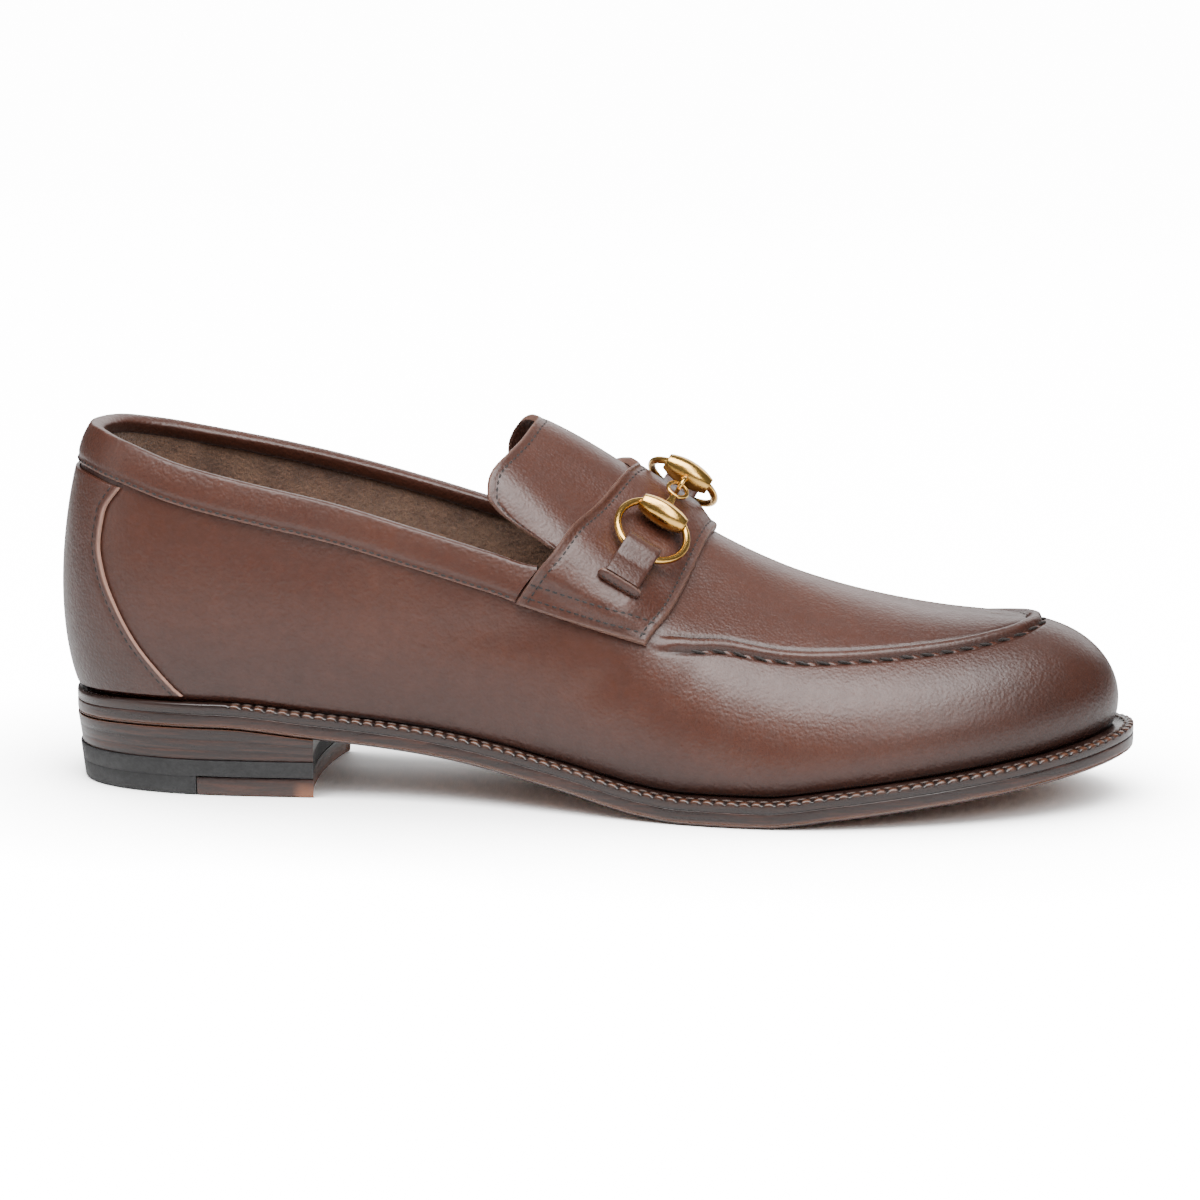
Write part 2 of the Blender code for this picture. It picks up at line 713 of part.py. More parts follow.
def build_tongue(material, collection):
    """Tongue: the apron's extension over the instep, held between upper and strap."""
    low = TONGUE_EDGES[0, 0]
    rise = np.linspace(0, 1, TONGUE_ROWS) ** 1.2
    half = low + (1 - low) * rise
    girth = np.concatenate((half, half[-2::-1]))
    inner_side = np.arange(len(girth)) >= len(half)
    rear = station_at(smooth_table(TONGUE_EDGES, 1, girth))
    front = station_at(smooth_table(TONGUE_EDGES, 2, girth))
    share = np.linspace(0, 1, TONGUE_COLUMNS)[:, None]
    station = rear[None, :] * (1 - share) + front[None, :] * share
    places = np.where(inner_side[None, :], RING_PLACES - station, station)
    points = patch(places, np.repeat(girth[None, :], len(share), axis=0), TONGUE_SEAT)
    return add_sheet("tongue", points, TONGUE_THICKNESS, 1, material, collection)


def strap_points(outwards):
    """Grid of the strap's inner face, raised over the tongue and close to the vamp elsewhere."""
    climb = np.linspace(0, 1, STRAP_ROWS)
    half = np.concatenate((climb, climb[-2::-1]))
    inner_side = np.arange(len(half)) >= STRAP_ROWS
    share = np.linspace(0, 1, STRAP_COLUMNS)[:, None]
    rear = station_at(smooth_table(STRAP_EDGES, 1, half))
    front = station_at(smooth_table(STRAP_EDGES, 2, half))
    station = rear[None, :] * (1 - share) + front[None, :] * share
    places = np.where(inner_side[None, :], RING_PLACES - station, station)
    corner = STRAP_REAR_CORNER + (STRAP_FRONT_CORNER - STRAP_REAR_CORNER) * share
    end = girth_at_height(places, np.broadcast_to(corner, places.shape))
    girth = end + (1 - end) * half[None, :]
    over_tongue = TONGUE_SEAT + TONGUE_THICKNESS
    climb_on = 1.0
    for place, (start, width) in zip((girth, share), TONGUE_STEP):
        climb_on = climb_on * np.clip((place - start) / width, 0, 1)
    blend = climb_on * climb_on * (3 - 2 * climb_on)
    return patch(places, girth, FIT_GAP + over_tongue * blend + outwards)


def build_strap(material, collection):
    """Saddle strap over the instep."""
    return add_sheet("saddle_strap", strap_points(0.0), STRAP_THICKNESS, 1, material, collection)


def tang_reach(side):
    """Distances from a half's barrel to the middle of its eye and to the link."""
    radius = OUTER_EYE_RADIUS if side < 0 else INNER_EYE_RADIUS
    eye = BARREL_RADIUS + TANG_LENGTH[side] + EYE_WIRE + radius
    return eye, eye + LINK_OVERLAP


def bit_frame(side):
    """Axes and origin of one half of the bit, side -1 for the outer half and 1 for the inner.

    The origin is the ring's centre, X runs along the barrel, Y points to the barrel's middle and Z off
    the strap.
    """
    reach = np.array((BIT_REACH, BIT_REACH + RING_RADIUS)) / OUTSOLE_LENGTH
    crown, ahead = last_point(station_at(reach), np.ones(2))
    slope = (ahead - crown) * np.array((1.0, 0.0, 1.0))
    slope /= np.linalg.norm(slope)
    up = np.cross(slope, (0.0, 1.0, 0.0))
    lift = FIT_GAP + TONGUE_SEAT + TONGUE_THICKNESS + STRAP_THICKNESS + LINK_HEIGHT
    link = crown + up * lift - np.array((0.0, LINK_ACROSS, 0.0))
    inwards = np.array((0.0, -side, 0.0))
    tang = inwards * math.cos(TANG_TILT[side]) + up * math.sin(TANG_TILT[side])
    toward = inwards * math.cos(RING_TILT[side]) + up * math.sin(RING_TILT[side])
    along = -side * slope
    axes = np.array((along, toward, np.cross(along, toward)))
    return axes, link - tang * tang_reach(side)[1] - toward * BARREL_OFFSET


def add_helper(owner, item, location, rotation, tools):
    """Join a helper's shape to its owner with a union, in the owner's own frame."""
    item.parent = owner
    item.location = location
    item.rotation_euler = rotation
    hide_tool(item, tools)
    cut(owner, item, "UNION")


def add_barrel(name, tools):
    """Barrel turned about Z, with flat ends and a swelling middle."""
    steps = np.linspace(-1, 1, BARREL_STEPS)
    radius = BARREL_RADIUS - (BARREL_RADIUS - BARREL_END_RADIUS) * steps ** 2
    height = -steps * BARREL_LENGTH / 2
    profile = [(0.0, 0.0, height[0])]
    profile += [(r, 0.0, z) for r, z in zip(radius, height)]
    profile += [(0.0, 0.0, height[-1])]
    mesh = bpy.data.meshes.new(name)
    mesh.from_pydata(profile, [(row, row + 1) for row in range(len(profile) - 1)], [])
    barrel = bpy.data.objects.new(name, mesh)
    tools.objects.link(barrel)
    turn = barrel.modifiers.new("Turn", "SCREW")
    turn.axis = "Z"
    turn.steps = BARREL_SEGMENTS
    turn.render_steps = BARREL_SEGMENTS
    turn.use_merge_vertices = True
    turn.merge_threshold = SMALLEST_MERGE
    turn.use_smooth_shade = True
    return barrel


def add_torus(name, radius, wire, segments, sides):
    """Torus about Z."""
    bpy.ops.mesh.primitive_torus_add(
        major_segments=segments, minor_segments=sides, major_radius=radius, minor_radius=wire)
    torus = bpy.context.object
    torus.name = name
    torus.data.shade_smooth()
    return torus


def build_bit(name, side, material, collection, tools):
    """One half of the bit: ring, barrel, flat tang and eye, as one solid turning about its ring."""
    axes, origin = bit_frame(side)
    half = add_torus(name, RING_RADIUS, RING_WIRE, RING_SEGMENTS, WIRE_SIDES)
    place_in(collection, half)
    half.data.materials.append(material)
    matrix = Matrix.Identity(4)
    for axis in range(3):
        matrix.col[axis] = (*axes[axis], 0.0)
    matrix.col[3] = (origin[0] - HEEL_REST_REACH, origin[1], origin[2], 1.0)
    half.matrix_world = matrix
    right_angle = math.pi / 2
    barrel = add_barrel(name + "_barrel", tools)
    add_helper(half, barrel, (0.0, BARREL_OFFSET, 0.0), (0.0, right_angle, 0.0), tools)

    start = BARREL_RADIUS / 2
    end = BARREL_RADIUS + TANG_LENGTH[side] + EYE_WIRE
    bend = TANG_TILT[side] - RING_TILT[side]
    direction = np.array((0.0, math.cos(bend), math.sin(bend)))
    root = np.array((0.0, BARREL_OFFSET, 0.0))
    diagonal = math.sqrt(2)
    bpy.ops.mesh.primitive_cone_add(
        vertices=4, radius1=TANG_ROOT * diagonal, radius2=TANG_TIP * diagonal, depth=end - start)
    tang = bpy.context.object
    tang.name = name + "_tang"
    flat = Matrix.Diagonal((1.0, TANG_FLATNESS, 1.0, 1.0)) @ Matrix.Rotation(right_angle / 2, 4, "Z")
    tang.data.transform(flat)
    place = root + direction * (start + end) / 2
    add_helper(half, tang, place, (bend - right_angle, 0.0, 0.0), tools)

    radius = OUTER_EYE_RADIUS if side < 0 else INNER_EYE_RADIUS
    eye = add_torus(name + "_eye", radius, EYE_WIRE, EYE_SEGMENTS, EYE_SIDES)
    upright = 0.0 if side < 0 else right_angle
    eye.data.transform(Matrix.Rotation(upright, 4, "Y"))
    add_helper(half, eye, root + direction * tang_reach(side)[0], (bend, 0.0, 0.0), tools)


def strap_profile(axes, origin, side, shift):
    """The strap's outer face as (y, z) in a half's frame, where x is the given shift."""
    local = (strap_points(STRAP_THICKNESS) - origin) @ axes.T
    middle = local.shape[1] // 2
    columns = range(middle) if side < 0 else range(local.shape[1] - 1, middle, -1)
    points = []
    for column in columns:
        line = local[:, column]
        order = np.argsort(line[:, 0])
        points.append([np.interp(shift, line[order, 0], line[order, axis]) for axis in (1, 2)])
    return np.array(points)


def prism(name, outline_points, width, axes, origin, material, collection):
    """Solid of a closed (y, z) outline in a half's frame, centred on its X."""
    loops = []
    for end in (-0.5, 0.5):
        local = np.column_stack((np.full(len(outline_points), end * width), outline_points))
        loops.append(local @ axes + origin)
    return add_layer(name, loops, material, collection)


def build_keeper(name, side, material, collection, tools):
    """Keeper: a leather tab folded round the bit's ring, its two layers lying on the strap."""
    axes, origin = bit_frame(side)
    chord = math.sqrt(RING_RADIUS ** 2 - KEEPER_WIDTH ** 2 / 4)
    middle = -(RING_RADIUS + chord) / 2
    slot_half = (RING_RADIUS - chord) / 2 + RING_WIRE + 2 * FIT_GAP
    slot_height = RING_WIRE + 2 * FIT_GAP
    nose = middle + slot_half + KEEPER_LEATHER
    tail = middle - KEEPER_TAIL
    y = nose + (tail - nose) * (1 - np.cos(np.linspace(0, math.pi, KEEPER_STEPS))) / 2
    profiles = [strap_profile(axes, origin, side, end * KEEPER_WIDTH) for end in (-0.5, 0.0, 0.5)]
    seat = np.max([np.interp(y, profile[:, 0], profile[:, 1]) for profile in profiles], axis=0)
    seat = seat + 2 * FIT_GAP
    loop = np.clip((y - middle) / (slot_half + KEEPER_LEATHER), 0, 1)
    to_tail = np.clip((middle - y) / (KEEPER_TAIL / 2), 0, 1)
    fold = 1 - to_tail ** 2 * (3 - 2 * to_tail)
    half = (slot_height + KEEPER_LEATHER) * np.sqrt(1 - loop ** 2) * fold + KEEPER_LEATHER * (1 - fold)
    centre = (seat + KEEPER_LEATHER) * (1 - fold)
    low = np.maximum(centre - half, seat)
    high = np.maximum(centre + half, low)
    top = np.column_stack((y, high))
    bottom = np.column_stack((y, low))
    closed = np.concatenate((top, bottom[-1:0:-1]))
    keeper = prism(name, closed[::-1], KEEPER_WIDTH, axes, origin, material, collection)
    turn = np.linspace(0, 2 * math.pi, KEEPER_STEPS, endpoint=False)
    shift = np.sign(np.cos(turn)) * (slot_half - slot_height)
    slot = np.column_stack((middle + shift + slot_height * np.cos(turn), slot_height * np.sin(turn)))
    hole = prism(name + "_slot", slot, KEEPER_WIDTH * 2, axes, origin, material, tools)
    hide_tool(hole, tools)
    cut(keeper, hole)


def build_all():
    """Build every sub-part."""
    clear_scene()
    part = make_collection("bit_loafer")
    tools = make_collection("cutters")
    calf = make_material("calf_leather", (0.16, 0.065, 0.042), 0.4)
    overlay = make_material("overlay_leather", (0.17, 0.07, 0.045), 0.4)
    edge = make_material("sole_leather", (0.06, 0.03, 0.022), 0.4)
    welt = make_material("welt_leather", (0.05, 0.028, 0.022), 0.4)
    rubber = make_material("black_rubber", (0.03, 0.03, 0.03), 0.7)
    lining = make_material("suede_lining", (0.10, 0.06, 0.035), 0.9)
    brass = make_material("antique_brass", (0.60, 0.38, 0.13), 0.3, metallic=1.0)
    build_outsole(edge, part)
    build_welt(welt, part)
    build_insole(lining, part)
    build_heel(edge, rubber, edge, part, tools)
    build_upper(calf, part)
    build_counter(overlay, part)
    build_collar_band(overlay, part)
    build_tongue(calf, part)
    build_strap(overlay, part)
    for name, side in (("outer", -1), ("inner", 1)):
        build_bit("bit_" + name, side, brass, part, tools)
        build_keeper("keeper_" + name, side, overlay, part, tools)


build_all()
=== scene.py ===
"""Looks of the bit loafer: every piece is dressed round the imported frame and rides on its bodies.

Units are metres. +X points to the toe, +Y to the inner side of the foot and +Z up. The shapes are
worked out from the same named sizes as the solids, measured from the back of the heel, and are moved
back by HEEL_REST_REACH when their meshes are made.
"""

import logging
import math
from dataclasses import dataclass
from enum import Enum
from functools import reduce
from typing import Callable

import bmesh
import bpy
import numpy as np
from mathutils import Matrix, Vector

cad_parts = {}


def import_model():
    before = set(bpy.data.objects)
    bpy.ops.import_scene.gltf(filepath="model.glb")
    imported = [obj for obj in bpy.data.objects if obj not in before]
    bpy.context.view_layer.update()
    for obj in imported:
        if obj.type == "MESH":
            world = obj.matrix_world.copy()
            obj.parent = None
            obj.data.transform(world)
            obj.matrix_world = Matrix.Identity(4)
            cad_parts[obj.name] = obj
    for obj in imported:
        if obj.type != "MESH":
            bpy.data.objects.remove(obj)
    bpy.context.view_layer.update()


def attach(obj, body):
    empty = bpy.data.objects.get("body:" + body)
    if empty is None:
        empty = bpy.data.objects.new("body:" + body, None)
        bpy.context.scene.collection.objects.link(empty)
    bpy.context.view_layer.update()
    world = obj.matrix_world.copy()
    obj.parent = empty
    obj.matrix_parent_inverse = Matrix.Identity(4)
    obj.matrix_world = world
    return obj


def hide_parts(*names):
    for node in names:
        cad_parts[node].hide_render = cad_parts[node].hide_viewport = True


Array = np.ndarray
LOG = logging.getLogger("bit_loafer")
HEEL_REST_REACH = 0.0210
# Clearance between seated pieces, reach of the welt in under the upper, and size of the collar band.
FIT_GAP = 0.0003
WELT_SEAT = 0.0026
BAND_HEIGHT = 0.0098
BAND_THICKNESS = 0.0010
MERGE = 1e-6

# Stations round the last, from the back of the heel to the tip of the toe. Columns: reach along the
# outsole; outer and inner half width of the outsole; extension of the margin; reach, place across and
# height of the spine; belly; wall; crown; fall of the outer and inner shoulder below the crown.
REACH, OUTER, INNER, EXTENSION, SPINE_REACH, SPINE_ACROSS, SPINE_HEIGHT = range(7)
BELLY, WALL, CROWN, RIDGE_OUTER, RIDGE_INNER = range(7, 12)
STATIONS = np.array((
    (0.000, 0.000, 0.000, 0.0, 0.087, 0.000, 0.995, 0.047, 0.25, 0.70, 0.000, 0.000),
    (0.014, 0.160, 0.160, 0.0, 0.093, 0.000, 0.995, 0.045, 0.25, 0.70, 0.000, 0.000),
    (0.055, 0.262, 0.262, 0.0, 0.113, 0.000, 0.995, 0.040, 0.26, 0.70, 0.000, 0.000),
    (0.115, 0.312, 0.308, 0.0, 0.153, 0.000, 0.995, 0.031, 0.28, 0.72, 0.000, 0.000),
    (0.185, 0.320, 0.306, 0.0, 0.207, 0.000, 0.995, 0.024, 0.30, 0.72, 0.000, 0.000),
    (0.260, 0.312, 0.276, 0.1, 0.267, 0.000, 0.995, 0.020, 0.32, 0.74, 0.020, 0.000),
    (0.335, 0.318, 0.246, 0.2, 0.337, 0.010, 0.992, 0.020, 0.42, 0.78, 0.030, 0.000),
    (0.410, 0.350, 0.244, 0.4, 0.410, 0.035, 0.970, 0.024, 0.58, 0.82, 0.055, 0.000),
    (0.485, 0.405, 0.290, 0.6, 0.485, 0.065, 0.874, 0.028, 0.72, 0.86, 0.105, 0.020),
    (0.560, 0.462, 0.374, 0.8, 0.560, 0.080, 0.738, 0.032, 0.82, 0.94, 0.130, 0.040),
    (0.635, 0.500, 0.452, 1.0, 0.633, 0.085, 0.622, 0.034, 0.92, 1.08, 0.080, 0.030),
    (0.710, 0.500, 0.494, 1.0, 0.703, 0.075, 0.548, 0.034, 1.00, 1.10, 0.040, 0.015),
    (0.785, 0.458, 0.480, 1.0, 0.763, 0.060, 0.507, 0.032, 1.00, 1.00, 0.015, 0.005),
    (0.860, 0.382, 0.420, 1.0, 0.813, 0.048, 0.484, 0.028, 0.95, 0.90, 0.000, 0.000),
    (0.930, 0.268, 0.320, 1.0, 0.847, 0.040, 0.476, 0.024, 0.87, 0.80, 0.000, 0.000),
    (0.981, 0.122, 0.190, 1.0, 0.867, 0.036, 0.470, 0.021, 0.80, 0.75, 0.000, 0.000),
    (1.000, -0.035, 0.035, 1.0, 0.873, 0.035, 0.468, 0.020, 0.80, 0.75, 0.000, 0.000),
))
LAST_STATION = len(STATIONS) - 1
RING_PLACES = 2 * LAST_STATION

# Height of the tread. Columns: reach, share of the heel height, share of the toe spring.
TREAD = np.array((
    (0.000, 1.090, 0.000),
    (0.080, 1.135, 0.000),
    (0.155, 1.140, 0.000),
    (0.240, 1.000, 0.000),
    (0.360, 0.770, 0.000),
    (0.477, 0.380, 0.000),
    (0.555, 0.075, 0.000),
    (0.595, 0.000, 0.000),
    (0.665, 0.000, 0.000),
    (0.735, 0.000, 0.170),
    (0.790, 0.000, 0.310),
    (0.893, 0.000, 0.600),
    (0.957, 0.000, 0.820),
    (1.000, 0.000, 1.000),
))

# Topline. Columns: station, heights on the outer and inner side as shares of the back height.
TOPLINE = np.array((
    (0.0, 1.000, 1.000),
    (1.0, 0.997, 0.994),
    (2.0, 0.970, 0.972),
    (3.0, 0.918, 0.938),
    (4.0, 0.870, 0.902),
    (5.0, 0.820, 0.860),
    (6.0, 0.757, 0.808),
    (7.0, 0.696, 0.745),
    (7.6, 0.663, 0.710),
    (8.0, 0.690, 0.725),
    (8.3, 0.780, 0.790),
    (8.6, 0.905, 0.905),
))

# Raised seam of the apron. Columns: station, share of the way up the girth, share of the roll's height.
APRON_SEAM = np.array((
    (0.0, 0.55, 0.0),
    (8.0, 0.44, 0.0),
    (9.0, 0.40, 0.0),
    (9.4, 0.45, 1.0),
    (10.0, 0.52, 1.0),
    (11.0, 0.54, 1.0),
    (12.0, 0.57, 1.0),
    (13.0, 0.62, 1.0),
    (14.0, 0.70, 1.0),
    (15.0, 0.81, 1.0),
    (16.0, 0.86, 1.0),
))

# Front edge of the counter. Columns: share of the way up from the welt to the band, station.
COUNTER_EDGE = np.array((
    (0.00, 3.10),
    (0.12, 2.80),
    (0.28, 2.42),
    (0.44, 2.12),
    (0.58, 1.90),
    (0.72, 1.78),
    (0.86, 1.82),
    (1.00, 2.08),
))

# Edges of the tongue. Columns: share of the girth, rear reach, front reach.
TONGUE_EDGES = np.array((
    (0.480, 0.462, 0.492),
    (0.492, 0.434, 0.498),
    (0.512, 0.416, 0.506),
    (0.550, 0.405, 0.515),
    (0.610, 0.404, 0.526),
    (0.800, 0.416, 0.538),
    (1.000, 0.436, 0.548),
))

# Edges of the saddle strap. Columns: share of the way up to the crown, rear reach, front reach.
STRAP_EDGES = np.array((
    (0.00, 0.436, 0.556),
    (0.22, 0.467, 0.574),
    (0.45, 0.480, 0.583),
    (0.66, 0.493, 0.592),
    (1.00, 0.522, 0.606),
))

# Soft troughs and swells that wear leaves in the leather. Columns: place round the edge, share of the
# girth, half length, half width and depth in millimetres, and slant in degrees.
CREASES = np.array((
    (9.35, 0.28, 17.0, 3.6, 0.45, 62.0),
    (9.90, 0.22, 13.0, 3.0, -0.30, 70.0),
    (8.55, 0.22, 19.0, 5.0, 0.55, 48.0),
    (7.20, 0.20, 24.0, 6.0, 0.50, 20.0),
    (4.60, 0.30, 22.0, 9.0, 0.60, -12.0),
    (10.60, 0.80, 20.0, 7.0, 0.45, 84.0),
    (22.60, 0.24, 16.0, 3.4, 0.45, 62.0),
    (23.50, 0.24, 19.0, 5.0, 0.50, 48.0),
    (25.20, 0.22, 24.0, 6.0, 0.50, 20.0),
    (27.60, 0.30, 22.0, 9.0, 0.55, -12.0),
))


class Side(Enum):
    """The two sides of the shoe: the outer one faces -Y."""

    OUTER = -1
    INNER = 1


class Rim(Enum):
    """Rims of a grid of points, as the index of its distance table."""

    FIRST_ROW = 0
    LAST_ROW = 1
    FIRST_COLUMN = 2
    LAST_COLUMN = 3


def smooth_table(table: Array, column: int, places: Array) -> Array:
    """Read a column of a table by cubics that never overshoot its rows.

    Args:
        table: rows whose first column rises.
        column: the column to read.
        places: values of the first column to read at.

    Returns:
        The column's values, from Hermite cubics with harmonic mean slopes.
    """
    rows = table[:, 0]
    values = table[:, column]
    widths = np.diff(rows)
    slopes = np.diff(values) / widths
    before = slopes[:-1]
    after = slopes[1:]
    same_way = before * after > 0
    total = np.where(same_way, before + after, 1.0)
    tangents = np.zeros(len(rows))
    tangents[1:-1] = np.where(same_way, 2 * before * after / total, 0.0)
    tangents[0] = slopes[0]
    tangents[-1] = slopes[-1]
    inside = np.clip(places, rows[0], rows[-1])
    row = np.clip(np.searchsorted(rows, inside, side="right") - 1, 0, len(widths) - 1)
    step = widths[row]
    part = (inside - rows[row]) / step
    rest = 1 - part
    ends = values[row] * (1 + 2 * part) * rest ** 2 + values[row + 1] * (3 - 2 * part) * part ** 2
    return ends + step * (tangents[row] * part * rest ** 2 - tangents[row + 1] * part ** 2 * rest)


def ring_spline(values: Array, places: Array) -> Array:
    """Read a closed cubic spline through values at whole places.

    Args:
        values: one value for each whole place round the ring.
        places: places to read at, any number of turns.

    Returns:
        The spline's values at the places.
    """
    count = len(values)
    identity = np.eye(count)
    system = 4 * identity + np.roll(identity, 1, axis=0) + np.roll(identity, -1, axis=0)
    bends = np.linalg.solve(system, 6 * (np.roll(values, -1) - 2 * values + np.roll(values, 1)))
    low = np.floor(places).astype(int)
    part = places - low
    rest = 1 - part
    low = low % count
    high = (low + 1) % count
    line = values[low] * rest + values[high] * part
    return line + ((rest ** 3 - rest) * bends[low] + (part ** 3 - part) * bends[high]) / 6


def smooth_step(low: float, high: float, value: Array) -> Array:
    """Rise from 0 at low to 1 at high by 3t² - 2t³; low may be the larger one."""
    share = np.clip((value - low) / (high - low), 0, 1)
    return share * share * (3 - 2 * share)


def unit(vectors: Array) -> Array:
    """Vectors brought to a length of 1."""
    return vectors / np.maximum(np.linalg.norm(vectors, axis=-1, keepdims=True), 1e-12)


@dataclass(frozen=True)
class Last:
    """The last and the plan of the sole, worked out from named sizes.

    A place runs round the edge, from 0 at the back of the heel up the outer side, past 16 at the tip
    of the toe and back down the inner side to 32. A girth runs up the last, from 0 at the feather
    edge to 1 at the spine.
    """

    length: float = 0.300
    ball_width: float = 0.104
    instep_height: float = 0.1065
    back_height: float = 0.100
    heel_height: float = 0.0168
    toe_spring: float = 0.0135
    outsole: float = 0.0042
    welt: float = 0.0027
    heel_margin: float = 0.0026
    forepart_margin: float = 0.0060
    belly_peak: float = 0.7
    girth_samples: int = 129

    def spline(self, outer: int, inner: int, places: Array) -> Array:
        """Closed spline of one column of STATIONS up the outer side and another down the inner."""
        values = np.concatenate((STATIONS[:, outer], STATIONS[-2:0:-1, inner]))
        return ring_spline(values, places)

    def side_of(self, places: Array) -> tuple[Array, Array]:
        """Station of each place, and whether it lies on the inner side.

        Args:
            places: places round the edge.

        Returns:
            Stations and booleans.
        """
        wrapped = np.mod(places, RING_PLACES)
        inner = wrapped > LAST_STATION
        return np.where(inner, RING_PLACES - wrapped, wrapped), inner

    def station_at(self, reach: Array) -> Array:
        """Station whose reach is the given share of the length."""
        return np.interp(reach, STATIONS[:, REACH], np.arange(len(STATIONS)))

    def outline(self, places: Array, inset: Array) -> tuple[Array, Array]:
        """Read the outsole's edge in plan, moved inwards along its normals.

        Args:
            places: places round the edge.
            inset: how far inwards, one value or one for each place.

        Returns:
            Plan points and outward unit normals.
        """
        across = np.concatenate((-STATIONS[:, OUTER], STATIONS[-2:0:-1, INNER])) * self.ball_width
        nearby = 0.01

        def at(where: Array) -> Array:
            """Plan points of the bare edge."""
            reach = self.spline(REACH, REACH, where) * self.length
            return np.stack((reach, ring_spline(across, where)), axis=-1)

        points = at(places)
        along = at(places + nearby) - points
        normals = unit(np.stack((along[..., 1], -along[..., 0]), axis=-1))
        return points - normals * np.asarray(inset)[..., None], normals

    def margin(self, places: Array) -> Array:
        """Distance from the outsole's edge in to the feather edge."""
        extension = self.spline(EXTENSION, EXTENSION, places)
        return self.heel_margin + (self.forepart_margin - self.heel_margin) * extension

    def tread_height(self, x: Array) -> Array:
        """Height of the outsole's underside at x.

        Args:
            x: reach from the back of the heel.

        Returns:
            Heights above the floor.
        """
        reach = x / self.length
        heel = smooth_table(TREAD, 1, reach) * self.heel_height
        return heel + smooth_table(TREAD, 2, reach) * self.toe_spring

    def seat_height(self, x: Array) -> Array:
        """Height of the welt's upper face at x."""
        return self.tread_height(x) + self.outsole + FIT_GAP + self.welt

    def point(self, places: Array, girth: Array) -> Array:
        """Points of the last.

        The plan goes from the feather edge to the spine with cos(girth)^wall, pushed out by the
        belly, and the height goes up with sin(girth)^crown, less the fall of the shoulders.

        Args:
            places: places round the edge.
            girth: shares of the girth, of the same shape.

        Returns:
            Points with a last axis of 3.
        """
        edge, outward = self.outline(places, self.margin(places))
        reach = self.spline(SPINE_REACH, SPINE_REACH, places) * self.length
        across = self.spline(SPINE_ACROSS, SPINE_ACROSS, places) * self.ball_width
        top = self.spline(SPINE_HEIGHT, SPINE_HEIGHT, places) * self.instep_height
        base = self.seat_height(edge[..., 0]) + FIT_GAP
        wall = self.spline(WALL, WALL, places)
        crown = self.spline(CROWN, CROWN, places)
        belly = self.spline(BELLY, BELLY, places) * self.ball_width
        ridge = self.spline(RIDGE_OUTER, RIDGE_INNER, places)
        share = np.sin((1 - girth) * math.pi / 2) ** wall
        rise = np.sin(girth * math.pi / 2) ** crown
        swell = belly * np.sin(math.pi * rise ** self.belly_peak)
        spine = np.stack((reach, across), axis=-1)
        plan = spine + (edge - spine) * share[..., None] + outward * swell[..., None]
        height = base + (top - base) * (rise - ridge * np.sin(math.pi * share) ** 2)
        return np.concatenate((plan, height[..., None]), axis=-1)

    def normal(self, places: Array, girth: Array) -> Array:
        """Outward unit normals: slope round the edge crossed with slope up the girth.

        Near the spine they turn into the mean of both sides, so that offsets meet there.

        Args:
            places: places round the edge.
            girth: shares of the girth.

        Returns:
            Normals with a last axis of 3.
        """

        def one_side(where: Array) -> Array:
            """Normals from the slopes at one side's places."""
            step = 0.02
            low = np.clip(girth - step / 2, 0.0, 1 - step)
            up = self.point(where, low + step) - self.point(where, low)
            along = self.point(where + step, girth) - self.point(where - step, girth)
            return unit(np.cross(along, up))

        mirror = one_side(RING_PLACES - places)
        share = smooth_step(0.90, 1.0, girth)[..., None] / 2
        return unit(one_side(places) * (1 - share) + mirror * share)

    def surface(self, places: Array, girth: Array, offset: Array) -> Array:
        """Points at an offset outside the last."""
        return self.point(places, girth) + self.normal(places, girth) * np.asarray(offset)[..., None]

    def girth_at_height(self, places: Array, height: Array) -> Array:
        """Share of the girth at which the last reaches a height, from samples up the girth.

        Args:
            places: places round the edge.
            height: heights, one for each place.

        Returns:
            One share for each place.
        """
        samples = np.linspace(0, 1, self.girth_samples)
        around = np.repeat(np.asarray(places)[..., None], self.girth_samples, axis=-1)
        heights = self.point(around, np.broadcast_to(samples, around.shape))[..., 2]
        below = np.sum(heights < np.asarray(height)[..., None], axis=-1)
        upper = np.clip(below, 1, self.girth_samples - 1)[..., None]
        low = np.take_along_axis(heights, upper - 1, axis=-1)[..., 0]
        high = np.take_along_axis(heights, upper, axis=-1)[..., 0]
        part = np.clip((height - low) / (high - low), 0, 1)
        return (upper[..., 0] - 1 + part) / (self.girth_samples - 1)

    def topline_height(self, places: Array) -> Array:
        """Height of the topline at each place.

        Args:
            places: places round the edge.

        Returns:
            One height for each place.
        """
        station, inner = self.side_of(places)
        outer_height = smooth_table(TOPLINE, 1, station)
        return np.where(inner, smooth_table(TOPLINE, 2, station), outer_height) * self.back_height

    def topline_girth(self, places: Array) -> Array:
        """Share of the girth at which the upper ends, 1 where it closes over the foot.

        Args:
            places: places round the edge.

        Returns:
            One share for each place.
        """
        station = self.side_of(places)[0]
        girth = self.girth_at_height(places, self.topline_height(places))
        return np.where(station > TOPLINE[-1, 0], 1.0, girth)


LAST = Last()


def turns(count: int) -> Array:
    """Angles spaced evenly round a full turn."""
    return np.linspace(0, 2 * math.pi, count, endpoint=False)


def eased(value: Array, power: float) -> Array:
    """Value with its size raised to a power and its sign kept."""
    return np.sign(value) * np.abs(value) ** power


def bell(value: Array, centre: float, width: float, height: float = 1.0) -> Array:
    """Bell round a centre: height times exp(-((value - centre) / width)²)."""
    return np.exp(-((value - centre) / width) ** 2) * height


def numbered(grid: Array) -> Array:
    """Vertex numbers of a grid of points, by row and column."""
    return np.arange(grid.shape[0] * grid.shape[1]).reshape(grid.shape[:2])


